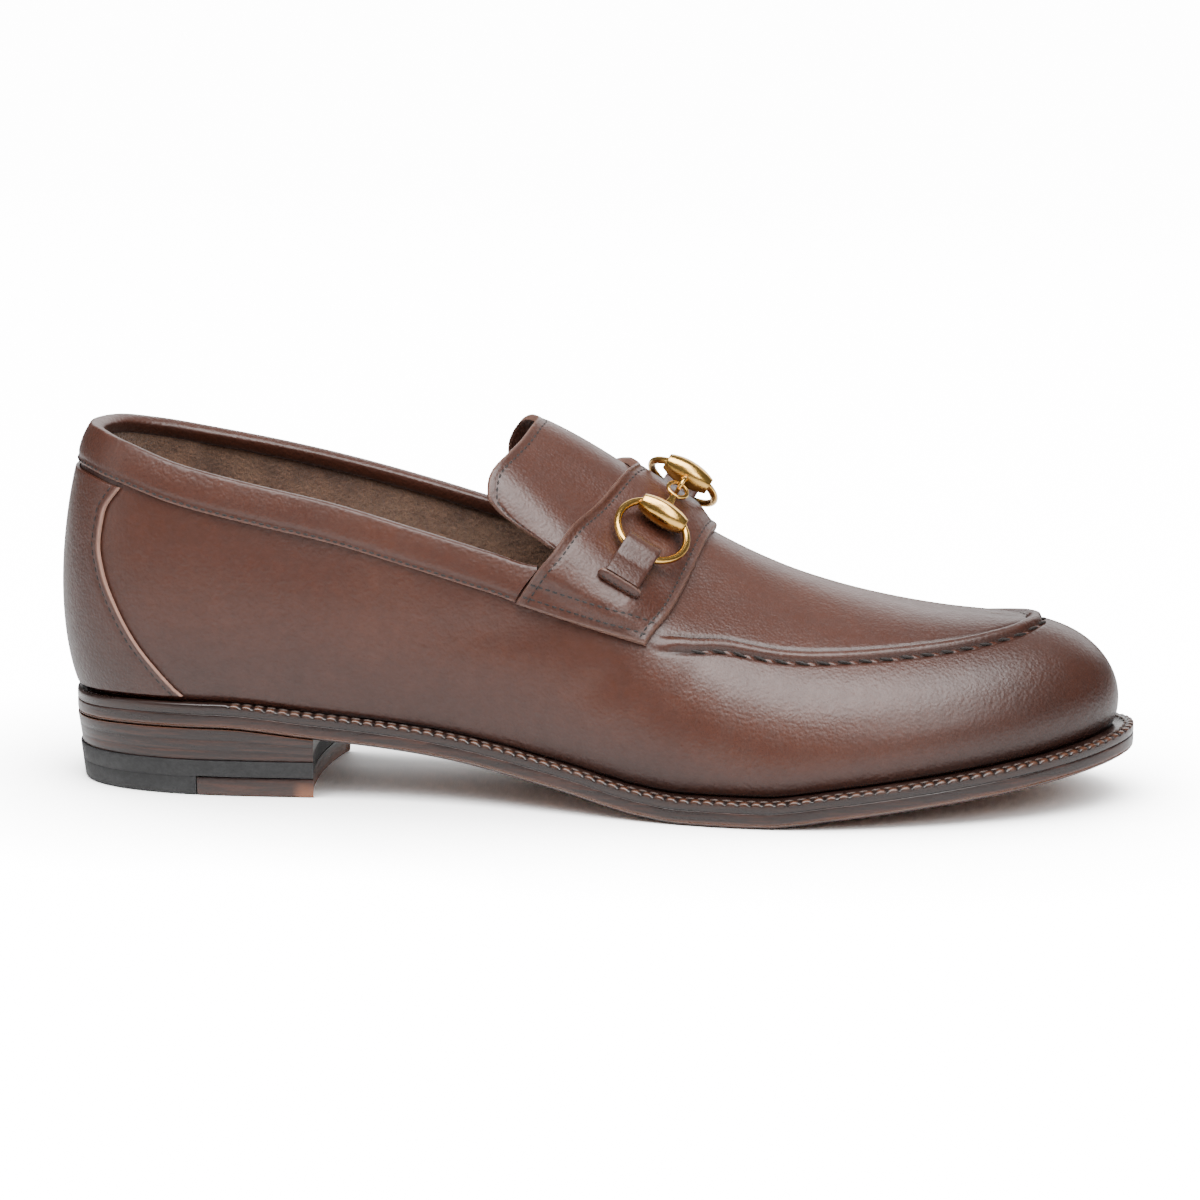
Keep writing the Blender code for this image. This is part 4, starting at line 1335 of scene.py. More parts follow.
@dataclass
class Upper:
    """Upper wall with the apron's rolled seam, its lining and its stitches."""

    columns_per_station: int = 12
    leather: float = 0.0012
    lining: float = 0.00075
    seam_height: float = 0.0014
    seam_half_width: float = 0.0019
    groove: float = 0.00055
    grip: float = 0.0006
    grip_station: float = 2.75
    braid_pitch: float = 0.0057
    zone_reach: float = 2.6
    side_rows: int = 33
    zone_rows: int = 20
    roof_rows: int = 23
    lining_rows: int = 40
    lining_low: float = 0.004
    lining_drop: float = 0.012
    seam_front: float = 9.45
    closing_girth: float = 0.9995

    def seam_girth(self, places: Array) -> tuple[Array, Array]:
        """Girth of the seam, and the girth that half of its width takes.

        Args:
            places: places round the edge.

        Returns:
            Two arrays, one value for each place.
        """
        station = LAST.side_of(places)[0]
        seam = smooth_table(APRON_SEAM, 1, station) * LAST.topline_girth(places)
        nearby = 0.02
        length = np.linalg.norm(LAST.point(places, seam + nearby) - LAST.point(places, seam), axis=-1)
        return seam, nearby * self.seam_half_width / length

    def roll(self, places: Array, t: Array) -> Array:
        """Height of the seam's section at t half widths: a round roll between two grooves.

        Args:
            places: places round the edge.
            t: distance from the crest in half widths.

        Returns:
            Heights over the leather's face.
        """
        lift = smooth_table(APRON_SEAM, 2, LAST.side_of(places)[0])
        bump = np.exp(-(t / 0.85) ** 4) * self.seam_height
        lower = bell(t, -1.35, 0.34, self.groove)
        upper = bell(t, 1.30, 0.30, self.groove * 0.6)
        return lift * (bump - lower - upper)

    def face(self, places: Array, girth: Array) -> Array:
        """Points of the upper's outer face.

        Args:
            places: places round the edge.
            girth: shares of the girth.

        Returns:
            Points with a last axis of 3.
        """
        seam, half = self.seam_girth(places)
        height = self.roll(places, (girth - seam) / half)
        plain = LAST.point(places, girth)
        return plain + LAST.normal(places, girth) * (height - crease_depth(plain))[..., None]

    def build(self, finishes: Finishes) -> None:
        """Build the wall, the lining and the rows of stitches.

        Args:
            finishes: the finishes that the pieces wear.
        """
        self.build_wall(finishes)
        self.build_lining(finishes)
        self.build_seam(finishes)

    def build_wall(self, finishes: Finishes) -> None:
        """Outer leather: girths crowd round the seam, and a wall is given inwards.

        Args:
            finishes: the finishes that the pieces wear.
        """
        count = RING_PLACES * self.columns_per_station
        places = np.arange(count) / self.columns_per_station
        seam, half = self.seam_girth(places)
        top = LAST.topline_girth(places)
        low_end = seam - self.zone_reach * half
        high_end = np.minimum(seam + self.zone_reach * half, seam + (top - seam) * 0.6)
        side = np.linspace(0, 1, self.side_rows + 1)[:-1] ** 1.15
        zone = np.linspace(0, 1, self.zone_rows + 1)
        roof = np.linspace(0, 1, self.roof_rows + 1)[1:]
        girth = np.concatenate((
            low_end[:, None] * side,
            low_end[:, None] + (high_end - low_end)[:, None] * zone,
            high_end[:, None] + (top - high_end)[:, None] * roof), axis=1)
        around = np.repeat(places[:, None], girth.shape[1], axis=1)
        plain = LAST.point(around, girth)
        t = (girth - seam[:, None]) / half[:, None]
        height = self.roll(around, t) - crease_depth(plain)
        closing = np.where(girth > self.closing_girth, 0.0, 1.0)
        points = plain + LAST.normal(around, girth) * (height * closing)[..., None]
        lift = smooth_table(APRON_SEAM, 2, LAST.side_of(around)[0])
        # Painted shade in the grooves on both sides of the seam's roll, joined to the darkening.
        shade = bell(t, -1.3, 0.6, 0.75) + bell(t, 1.3, 0.45, 0.5)
        burnish = 1 - (1 - burnish_at(points, girth)) * (1 - np.clip(shade * lift, 0, 1))
        shape = Shape.of(points, quads(closed(numbered(girth))), burnish=burnish)
        piece = make_piece("upper_leather", shape, finishes.calf, "shoe", ("upper",))
        give_wall(piece, self.leather)

    def build_lining(self, finishes: Finishes) -> None:
        """Suede lining: a sheet just inside the leather, with its own wall.

        Args:
            finishes: the finishes that the pieces wear.
        """
        places = np.arange(RING_PLACES * self.columns_per_station) / self.columns_per_station
        top = LAST.topline_girth(places)
        share = np.linspace(0, 1, self.lining_rows)
        around = np.repeat(places[:, None], len(share), axis=1)
        open_top = LAST.side_of(places)[0] <= TOPLINE[-1, 0]
        end = np.where(open_top, top - self.lining_drop, top)
        girth = self.lining_low + (end - self.lining_low)[:, None] * share
        grip = smooth_step(self.grip_station, self.grip_station - 0.1, LAST.side_of(around)[0])
        offset = -self.leather - 0.0001 - self.grip * grip
        points = LAST.surface(around, girth, offset)
        shape = Shape.of(points, quads(closed(numbered(girth))))
        piece = make_piece("lining", shape, finishes.suede, "shoe", ("upper",))
        give_wall(piece, self.lining)

    def build_seam(self, finishes: Finishes) -> None:
        """Braided stitches along the roll's outer groove and a fine row along its inner one.

        Args:
            finishes: the finishes that the pieces wear.
        """
        places = np.linspace(self.seam_front, RING_PLACES - self.seam_front, 700)
        seam, half = self.seam_girth(places)

        def line(t: float) -> tuple[Array, Array]:
            """Points and normals at t half widths from the seam's crest."""
            girth = seam + t * half
            return self.face(places, girth), LAST.normal(places, girth)

        path, normals = line(-1.15)
        braid = Thread(self.braid_pitch, half_length=0.0024, half_width=0.00048, half_height=0.00052,
                       sink=-0.00012)
        stitches = braid.row(path, normals, slant=-16.0)
        path, normals = line(1.15)
        fine = Thread(half_length=0.00070, half_width=0.00027, half_height=0.00022, sink=0.0)
        stitches = stitches.add(fine.row(path, normals))
        make_piece("apron_stitches", stitches, finishes.thread, "shoe")
        path, normals = line(-1.25)
        pucker = Thread(self.braid_pitch, half_length=0.0020, half_width=0.00095, half_height=0.00062,
                        sink=0.00010)
        puckers = pucker.row(path, normals, start=self.braid_pitch / 2, slant=-16.0)
        make_piece("apron_puckers", puckers, finishes.calf, "shoe")


@dataclass
class Counter:
    """Overlay round the back of the heel, with a raw front edge and a row of stitches."""

    thickness: float = 0.0011
    edge_radius: float = 0.0005
    stitch_inset: float = 0.0024
    thread: Thread = Thread(pitch=0.0024, half_length=0.00090, half_width=0.00032)

    def grid(self) -> tuple[Array, Array, Array]:
        """Base grid of the overlay, rows from the outer edge round the back, its normals and girths."""
        rise = clustered(58, 0.010)
        share = clustered(110, 0.006) * 2 - 1
        edge = smooth_table(COUNTER_EDGE, 1, rise)
        around = share[:, None] * edge[None, :]
        x = LAST.outline(around, LAST.margin(around))[0][..., 0]
        base = LAST.seat_height(x) + FIT_GAP + self.thickness
        top = LAST.topline_height(around) - BAND_HEIGHT - FIT_GAP - BAND_THICKNESS
        girth = LAST.girth_at_height(around, base + (top - base) * rise[None, :])
        return LAST.surface(around, girth, FIT_GAP), LAST.normal(around, girth), girth

    def build(self, finishes: Finishes) -> None:
        """Build the overlay and its stitches.

        Args:
            finishes: the finishes that the pieces wear.
        """
        base, normals, girth = self.grid()
        far = rim_distances(base)
        nearest = np.minimum(far[0], far[1])
        height = self.thickness * rounded(np.min(far, axis=0), self.edge_radius)
        dent = bell(nearest, self.stitch_inset, 0.0007, 0.00025)
        height = np.maximum(height - dent * (height > self.thickness / 2), 0.0)
        raw = smooth_step(0.00055, 0.0002, nearest) * 0.85
        shape = slab(base, normals, height, burnish=burnish_at(base, girth), edge=raw)
        make_piece("counter_overlay", shape, finishes.overlay, "shoe", ("counter",))
        top = base + normals * height[..., None]
        stitches = joined([self.thread.along_rim((top, normals), far, rim, self.stitch_inset, 0.001)
                           for rim in (Rim.FIRST_ROW, Rim.LAST_ROW)])
        make_piece("counter_stitches", stitches, finishes.thread, "shoe")


@dataclass
class CollarBand:
    """Band along the topline, rolled over into the shoe, with a row of stitches."""

    height: float = BAND_HEIGHT
    thickness: float = BAND_THICKNESS
    lip: float = 0.0035
    wall: float = 0.0020
    stitch_inset: float = 0.0015
    strap_corner: float = 0.057
    sections: int = 330

    def ends(self, drop: Array, side: Side) -> Array:
        """Stations where the band stops at the strap's rear edge, at drops below the topline.

        Args:
            drop: drops below the topline.
            side: the side on which the band ends.

        Returns:
            One station for each drop.
        """
        clearance = 2 * FIT_GAP / (LAST.length * np.diff(STATIONS[7:9, REACH])[0])
        ends = np.full(len(drop), 7.0)
        for _ in range(4):
            places = ends * side.value * -1
            girth = LAST.girth_at_height(places, LAST.topline_height(places) - drop)
            corner = LAST.girth_at_height(places, np.full(len(drop), self.strap_corner))
            climb = (girth - corner) / (1 - corner)
            ends = LAST.station_at(smooth_table(STRAP_EDGES, 1, climb)) - clearance
        return ends

    def build(self, finishes: Finishes) -> None:
        """Build the band as a skin round a closed section, and its stitches.

        A section goes up the outer face, over the topline in a half ellipse, down the lip inside the
        shoe and back along the leather's own wall. The sections follow one another round the heel.

        Args:
            finishes: the finishes that the pieces wear.
        """
        share = np.linspace(-1, 1, self.sections)[:, None]
        depth = np.concatenate(([1.0], 1 - 0.012 * np.array((0.3, 1.0, 3.0)), np.linspace(0.93, 0.04, 15)))
        drop = depth * self.height
        far_side = self.ends(drop, Side.INNER)[None, :]
        near_side = self.ends(drop, Side.OUTER)[None, :]
        around = np.where(share < 0, share * far_side, share * near_side)
        top = LAST.topline_height(around)
        girth = LAST.girth_at_height(around, top - drop[None, :])
        skin = LAST.point(around, girth)
        normals = LAST.normal(around, girth)
        below = drop[None, :] * np.ones_like(around)
        edge = self.height - below
        swell = rounded(edge, 0.0007)
        dent = bell(edge, self.stitch_inset, 0.0006, 0.0003)
        puff = np.sin(np.clip(below / self.height, 0, 1) * math.pi) * 0.0004
        outer = skin + normals * (FIT_GAP + self.thickness * swell - dent + puff)[..., None]
        inner_face = skin + normals * (FIT_GAP * 0.7)

        rim_around = around[:, -1:]
        rim_top = LAST.topline_height(rim_around)
        rim_girth = LAST.girth_at_height(rim_around, rim_top)
        rim = LAST.point(rim_around, rim_girth)
        normal = LAST.normal(rim_around, rim_girth)
        climb = unit(LAST.point(rim_around, rim_girth) - LAST.point(rim_around, rim_girth - 0.03))
        across = (FIT_GAP + self.thickness, -(self.wall + FIT_GAP + self.thickness))
        middle = (across[0] + across[1]) / 2
        radius = (across[0] - across[1]) / 2
        turn = np.linspace(0.06, 0.94, 13)[None, :] * math.pi
        over = rim + normal * (middle + radius * np.cos(turn))[..., None]
        over = over + climb * ((FIT_GAP + self.thickness) * np.sin(turn) ** 0.8)[..., None]
        sink = np.array((0.0006, 0.0016, 0.0027, 0.0034))[None, :]
        inside = rim + normal * (across[1] + np.array((0.0, 0.0, 0.00015, 0.0006)))[None, :, None]
        inside = inside - climb * sink[..., None]
        back = rim + normal * (-self.wall - FIT_GAP)
        back_low = back - climb * self.lip
        back_high = back + climb * FIT_GAP / 2
        front_high = rim + normal * FIT_GAP / 2 + climb * FIT_GAP / 2
        section = np.concatenate((outer, over, inside, back_low, back_high, front_high,
                                  inner_face[:, ::-1][:, ::3]), axis=1)
        seen = outer.shape[1] + over.shape[1] + inside.shape[1]
        worn = np.zeros(section.shape[:2])
        worn[:, :outer.shape[1]] = smooth_step(0.0006, 0.0001, edge) * 0.4
        # Burnished, with painted shade in the stitch dent; the roll and the lip inside a little darker.
        burnish_and_stitch_shade = np.zeros(section.shape[:2])
        burnish_and_stitch_shade[:, :outer.shape[1]] = burnish_at(outer, girth) * 0.8 + dent * 900
        burnish_and_stitch_shade[:, outer.shape[1]:seen] = 0.12
        shape = tube(section, burnish=np.clip(burnish_and_stitch_shade, 0, 1), edge=worn)
        make_piece("collar_binding", shape, finishes.overlay, "shoe", ("collar_band",))
        far = rim_distances(outer)
        stitches = Thread().along_rim((outer, normals), far, Rim.FIRST_COLUMN, self.stitch_inset, 0.0015)
        make_piece("collar_stitches", stitches, finishes.thread, "shoe")


@dataclass
class Tongue:
    """Extension of the apron over the instep, with a stitched free edge."""

    seat: float = 0.0007
    thickness: float = 0.0019
    edge_radius: float = 0.0006
    stitch_inset: float = 0.0028

    def build(self, finishes: Finishes) -> None:
        """Build the tongue and its stitches.

        Args:
            finishes: the finishes that the pieces wear.
        """
        low = TONGUE_EDGES[0, 0]
        rise = clustered(70, 0.010) ** 1.2
        half = low + (1 - low) * rise[:-1]
        half = half[half < 0.998]
        girth = np.concatenate((half, [1.0], half[::-1]))
        inner = np.arange(len(girth)) > len(half)
        rear = LAST.station_at(smooth_table(TONGUE_EDGES, 1, girth))
        front = LAST.station_at(smooth_table(TONGUE_EDGES, 2, girth))
        share = clustered(60, 0.012)[:, None]
        station = rear[None, :] * (1 - share) + front[None, :] * share
        places = np.where(inner[None, :], RING_PLACES - station, station)
        girth = np.repeat(girth[None, :], len(share), axis=0)
        normals = LAST.normal(places, girth)
        base = LAST.point(places, girth) + normals * self.seat
        far = rim_distances(base)
        nearest = np.minimum(far[0], np.minimum(far[2], far[3]))
        height = self.thickness * rounded(np.min(far, axis=0), self.edge_radius)
        dent = bell(nearest, self.stitch_inset, 0.0007, 0.00028)
        height = np.maximum(height - dent * (height > self.thickness / 2), 0.0)
        raw = smooth_step(0.0010, 0.0003, nearest) * 0.35
        # Burnished along the rims, with painted shade in the stitch dent.
        burnish = smooth_step(0.004, 0.0, nearest) * 0.3 + dent * 800
        shape = slab(base, normals, height, burnish=np.clip(burnish, 0, 1), edge=raw)
        make_piece("tongue_leather", shape, finishes.calf, "shoe", ("tongue",))
        top = base + normals * height[..., None]
        stitches = Thread().along_rim((top, normals), far, Rim.FIRST_ROW, self.stitch_inset,
                                      keep=slice(6, -6))
        make_piece("tongue_stitches", stitches, finishes.thread, "shoe")


@dataclass
class SaddleStrap:
    """Strap over the instep: a beaded rear edge and rows of stitches on three sides."""

    thickness: float = 0.0020
    tongue_seat: float = Tongue.seat
    tongue: float = Tongue.thickness
    rear_corner: float = 0.057
    front_corner: float = 0.047
    edge_radius: float = 0.0006
    bead: float = 0.0005
    rear_inset: float = 0.0030
    front_inset: float = 0.0024
    low_inset: float = 0.0026
    second_low_inset: float = 0.0066

    def surface(self, climb: Array, share: Array) -> tuple[Array, Array]:
        """Read the strap's inner face, raised over the tongue and close to the vamp elsewhere.

        Args:
            climb: from 0 at the outer lower end past 1 at the crown to 2 at the inner one.
            share: from 0 at the rear edge to 1 at the front edge.

        Returns:
            Points and outward normals.
        """
        half = np.where(climb > 1, 2 - climb, climb)
        rear = LAST.station_at(smooth_table(STRAP_EDGES, 1, half))
        front = LAST.station_at(smooth_table(STRAP_EDGES, 2, half))
        station = rear * (1 - share) + front * share
        places = np.where(climb > 1, RING_PLACES - station, station)
        corner = self.rear_corner + (self.front_corner - self.rear_corner) * share
        end = LAST.girth_at_height(places, corner)
        girth = end + (1 - end) * half
        step_up = np.clip((girth - 0.32) / 0.08, 0, 1) * np.clip((0.98 - share) / 0.30, 0, 1)
        blend = step_up * step_up * (3 - 2 * step_up)
        offset = FIT_GAP + (self.tongue_seat + self.tongue) * blend
        normals = LAST.normal(places, girth)
        return LAST.point(places, girth) + normals * offset[..., None], normals

    def build(self, finishes: Finishes) -> None:
        """Build the strap and its stitches.

        Args:
            finishes: the finishes that the pieces wear.
        """
        half = clustered(150, 0.008)
        climb, share = np.meshgrid(half * 2, clustered(44, 0.016), indexing="xy")
        base, normals = self.surface(climb, share)
        far = rim_distances(base)
        low = np.minimum(far[2], far[3])
        height = self.thickness * rounded(np.min(far, axis=0), self.edge_radius)
        bead = bell(far[0], 0.0009, 0.0006, self.bead)
        bead_groove = bell(far[0], 0.0020, 0.0004, 0.0003)
        sewn = np.zeros_like(height)
        for distance, inset in ((far[0], self.rear_inset), (far[1], self.front_inset),
                                (low, self.low_inset), (low, self.second_low_inset)):
            sewn = np.maximum(sewn, bell(distance, inset, 0.0006))
        well_in = height > self.thickness * 0.6
        height = height + (bead - bead_groove - sewn * 0.00025) * well_in
        nearest = np.min(far, axis=0)
        raw = smooth_step(0.0009, 0.0002, nearest) * 0.35
        # Burnished along the rims, with painted shade along the stitch grooves.
        burnish = np.clip(smooth_step(0.003, 0.0, nearest) * 0.35 + sewn * 0.25, 0, 1)
        shape = slab(base, normals, np.maximum(height, 0.0), burnish=burnish, edge=raw)
        make_piece("strap_leather", shape, finishes.overlay, "shoe", ("saddle_strap",))
        top = base + normals * height[..., None]
        rows = (
            (Rim.FIRST_ROW, self.rear_inset, self.low_inset),
            (Rim.LAST_ROW, self.front_inset, self.low_inset),
            (Rim.FIRST_COLUMN, self.low_inset, self.front_inset),
            (Rim.LAST_COLUMN, self.low_inset, self.front_inset),
            (Rim.FIRST_COLUMN, self.second_low_inset, self.front_inset),
            (Rim.LAST_COLUMN, self.second_low_inset, self.front_inset),
        )
        stitches = joined([Thread().along_rim((top, normals), far, rim, inset, free)
                           for rim, inset, free in rows])
        make_piece("strap_stitches", stitches, finishes.thread, "shoe")


@dataclass
class Bit:
    """One half of the linked bit: ring, barrel, flat tang and eye, and the keeper that holds it."""

    side: Side
    strap: SaddleStrap
    reach: float = 0.1685
    link_height: float = 0.0024
    link_across: float = 0.0080
    ring_radius: float = 0.0102
    ring_wire: float = 0.00105
    barrel_length: float = 0.0140
    barrel_radius: float = 0.00375
    barrel_end: float = 0.00225
    barrel_offset: float = 0.0078
    tang_root: float = 0.0017
    tang_tip: float = 0.0007
    eye_wire: float = 0.0006
    link_overlap: float = 0.0014
    keeper_width: float = 0.0105
    keeper_leather: float = 0.0015
    keeper_tail: float = 0.0125

    @property
    def ring_tilt(self) -> float:
        """Tilt of the ring's plane down from the link."""
        return math.radians(34.0 if self.side is Side.OUTER else 31.0)

    @property
    def tang_tilt(self) -> float:
        """Tilt of the tang down from the link."""
        return math.radians(26.0 if self.side is Side.OUTER else -21.0)

    @property
    def tang_length(self) -> float:
        """Length of the tang between barrel and eye."""
        return 0.0055 if self.side is Side.OUTER else 0.0004

    @property
    def eye_radius(self) -> float:
        """Radius of the eye to the middle of its wire."""
        return 0.00285 if self.side is Side.OUTER else 0.00245

    @property
    def body(self) -> str:
        """Body that this half rides on."""
        return "bit_outer_half" if self.side is Side.OUTER else "bit_inner_half"

    @property
    def title(self) -> str:
        """Outer or inner, for names."""
        return self.side.name.lower()

    def eye_reach(self) -> float:
        """Distance from the barrel's axis to the middle of the eye."""
        return self.barrel_radius + self.tang_length + self.eye_wire + self.eye_radius

    def place(self) -> tuple[Array, Array]:
        """Axes and origin of the half: X along the barrel, Y from the ring's centre to it, Z off."""
        reach = np.array((self.reach, self.reach + self.ring_radius)) / LAST.length
        crown, ahead = LAST.point(LAST.station_at(reach), np.ones(2))
        slope = unit((ahead - crown) * np.array((1.0, 0.0, 1.0)))
        up = np.cross(slope, (0.0, 1.0, 0.0))
        strap = self.strap
        lift = FIT_GAP + strap.tongue_seat + strap.tongue + strap.thickness + self.link_height
        link = crown + up * lift - np.array((0.0, self.link_across, 0.0))
        inwards = np.array((0.0, -self.side.value, 0.0))
        tang = inwards * math.cos(self.tang_tilt) + up * math.sin(self.tang_tilt)
        toward = inwards * math.cos(self.ring_tilt) + up * math.sin(self.ring_tilt)
        axes = np.array((-self.side.value * slope, toward, np.cross(-self.side.value * slope, toward)))
        return axes, link - tang * (self.eye_reach() + self.link_overlap) - toward * self.barrel_offset

    def torus(self, radius: float, wire: float, segments: int, sides: int) -> Array:
        """Sections of a torus about Z, as points by section and corner.

        Args:
            radius: radius to the middle of the wire.
            wire: radius of the wire.
            segments: sections round the ring.
            sides: corners of a section.

        Returns:
            Points with a last axis of 3.
        """
        turn = turns(segments)[:, None]
        corner = turns(sides)[None, :]
        out = radius + wire * np.cos(corner)
        return np.stack((out * np.cos(turn), out * np.sin(turn), -wire * np.sin(corner) + 0 * turn), axis=-1)

    def barrel(self) -> Shape:
        """Barrel about X: a swelling profile turned round, with a keel along both sides and flat ends."""
        along = np.concatenate((
            [-1.0, -1.0, -0.985], np.linspace(-0.955, 0.955, 33), [0.985, 1.0, 1.0]))
        profile = self.barrel_radius - (self.barrel_radius - self.barrel_end) * np.abs(along) ** 2.2
        profile[[0, -1]] = 0.0
        profile[[1, -2]] *= 0.93
        corner = turns(48)[None, :]
        half_turn = corner / 2 - math.pi / 4
        keel = 0.075 * (bell(np.sin(half_turn), 0.0, 0.10) + bell(np.cos(half_turn), 0.0, 0.10))
        radius = profile[:, None] * (0.97 + keel)
        x = np.broadcast_to((along * self.barrel_length / 2)[:, None], radius.shape)
        points = np.stack((x, radius * np.cos(corner), radius * np.sin(corner)), axis=-1)
        points = points + np.array((0.0, self.barrel_offset, 0.0))
        patina = smooth_step(0.90, 1.0, np.abs(along))[:, None] * np.ones_like(corner) * 0.6
        # Painted shade: the underside of the barrel, facing the strap, is darkened and dulled.
        under = smooth_step(0.1, -0.9, np.sin(corner)) * np.ones_like(radius) * 0.4
        index = closed(numbered(radius), rows=False, columns=True)
        return Shape.of(points, quads(index)[:, ::-1], patina=np.maximum(patina, under))

    def tang(self) -> Shape:
        """Flat tapered tang with rounded sides, from inside the barrel to inside the eye's wire."""
        bend = self.tang_tilt - self.ring_tilt
        direction = np.array((0.0, math.cos(bend), math.sin(bend)))
        off = np.array((0.0, -math.sin(bend), math.cos(bend)))
        start = self.barrel_radius / 2
        end = self.barrel_radius + self.tang_length + self.eye_wire
        share = np.linspace(0, 1, 14)[:, None]
        half = self.tang_root + (self.tang_tip - self.tang_root) * share
        corner = turns(20)[None, :]
        wide = eased(np.cos(corner), 0.5) * half
        thick = eased(np.sin(corner), 0.5) * (half * 0.16 + 0.00032)
        reach = start + (end - start) * share
        points = np.array((1.0, 0.0, 0.0)) * wide[..., None] + off * thick[..., None]
        points = points + direction * (reach + 0 * corner)[..., None]
        points = points + np.array((0.0, self.barrel_offset, 0.0))
        return tube(points, patina=smooth_step(0.45, 0.15, share) * 0.6 + 0 * corner)

    def eye(self) -> Shape:
        """Eye at the tang's end, flat on the outer half and upright on the inner one."""
        bend = self.tang_tilt - self.ring_tilt
        points = self.torus(self.eye_radius, self.eye_wire, 48, 12)
        if self.side is Side.INNER:
            points = np.stack((points[..., 2], points[..., 1], -points[..., 0]), axis=-1)
        turned = points.copy()
        turned[..., 1] = points[..., 1] * math.cos(bend) - points[..., 2] * math.sin(bend)
        turned[..., 2] = points[..., 1] * math.sin(bend) + points[..., 2] * math.cos(bend)
        middle = np.array((0.0, math.cos(bend), math.sin(bend))) * self.eye_reach()
        turned = turned + middle + np.array((0.0, self.barrel_offset, 0.0))
        inner = smooth_step(0.2, 1.0, -np.cos(turns(12)))[None, :]
        return tube(turned[:, ::-1], wrap=True, patina=inner * np.ones((48, 1)) * 0.5)

    def build(self, finishes: Finishes) -> None:
        """Build the metal half and its keeper.

        Args:
            finishes: the finishes that the pieces wear.
        """
        axes, origin = self.place()
        inner = smooth_step(0.2, 1.0, -np.cos(turns(16)))[None, :] * np.ones((120, 1)) * 0.45
        ring = tube(self.torus(self.ring_radius, self.ring_wire, 120, 16)[:, ::-1], wrap=True,
                    patina=inner[:, ::-1])
        shape = joined([ring, self.barrel(), self.tang(), self.eye()]).placed(axes, origin)
        name = "bit_" + self.title
        make_piece(name + "_metal", shape, finishes.brass, self.body, (name,), 40.0)
        self.build_keeper(finishes, axes, origin)

    def strap_seat(self, axes: Array, origin: Array, y: Array) -> Array:
        """Highest face of the strap under the keeper's width, at places y of the half's frame.

        Args:
            axes: the half's axes.
            origin: the half's origin.
            y: places along Y in the half's frame.

        Returns:
            One height for each y.
        """
        half = np.linspace(0, 1, 60) if self.side is Side.OUTER else np.linspace(2, 1, 60)
        climb, share = np.meshgrid(half, np.linspace(0, 1, 41), indexing="ij")
        base, normals = self.strap.surface(climb, share)
        local = (base + normals * self.strap.thickness - origin) @ axes.T
        seats = []
        for end in (-0.5, 0.0, 0.5):
            profile = []
            for line in local:
                order = np.argsort(line[:, 0])
                profile.append([np.interp(end * self.keeper_width, line[order, 0], line[order, axis])
                                for axis in (1, 2)])
            points = np.array(profile)
            seats.append(np.interp(y, points[:, 0], points[:, 1]))
        return np.max(seats, axis=0)

    def build_keeper(self, finishes: Finishes, axes: Array, origin: Array) -> None:
        """Keeper: a leather strip that goes up over the ring, round it and back under itself.

        Args:
            finishes: the finishes that the pieces wear.
            axes: the half's axes.
            origin: the half's origin.
        """
        chord = math.sqrt(self.ring_radius ** 2 - self.keeper_width ** 2 / 4)
        middle = -(self.ring_radius + chord) / 2
        slot_half = (self.ring_radius - chord) / 2 + self.ring_wire + 2 * FIT_GAP
        slot_height = self.ring_wire + 2 * FIT_GAP
        nose = middle + slot_half + self.keeper_leather
        tail = middle - self.keeper_tail
        half_leather = self.keeper_leather / 2
        y = np.linspace(tail, nose - half_leather, 60)
        seat = self.strap_seat(axes, origin, y) + 2 * FIT_GAP
        to_tail = np.clip((middle - y) / (self.keeper_tail / 2), 0, 1)
        fold = 1 - to_tail ** 2 * (3 - 2 * to_tail)
        loop = np.clip((y - middle) / (slot_half + self.keeper_leather), 0, 1)
        open_half = (slot_height + self.keeper_leather) * np.sqrt(1 - loop ** 2)
        upper = open_half * fold + (seat + 2 * self.keeper_leather) * (1 - fold) - half_leather
        lower = np.maximum(-open_half * fold + seat * (1 - fold), seat) + half_leather
        upper = np.maximum(upper, lower + 2 * half_leather * smooth_step(middle + slot_half, middle, y))
        path = np.concatenate((np.column_stack((y, upper)), np.column_stack((y, lower))[::-1]))
        steps = np.gradient(path, axis=0)
        out = unit(np.stack((-steps[:, 1], steps[:, 0]), axis=-1))
        corner = turns(20)
        wide = eased(np.cos(corner), 0.28) * self.keeper_width / 2
        thick = eased(np.sin(corner), 0.5) * half_leather
        section = np.zeros((len(path), len(corner), 3))
        section[..., 0] = wide[None, :]
        section[..., 1] = path[:, None, 0] + out[:, None, 0] * thick[None, :]
        section[..., 2] = path[:, None, 1] + out[:, None, 1] * thick[None, :]
        raw = smooth_step(0.8, 1.0, np.abs(np.cos(corner)))[None, :] * np.ones((len(path), 1)) * 0.3
        shape = tube(section, burnish=raw + 0.35).placed(axes, origin)
        name = "keeper_" + self.title
        make_piece(name + "_leather", shape, finishes.overlay, "shoe", (name,))
        self.build_slit(finishes, axes, origin, tail)

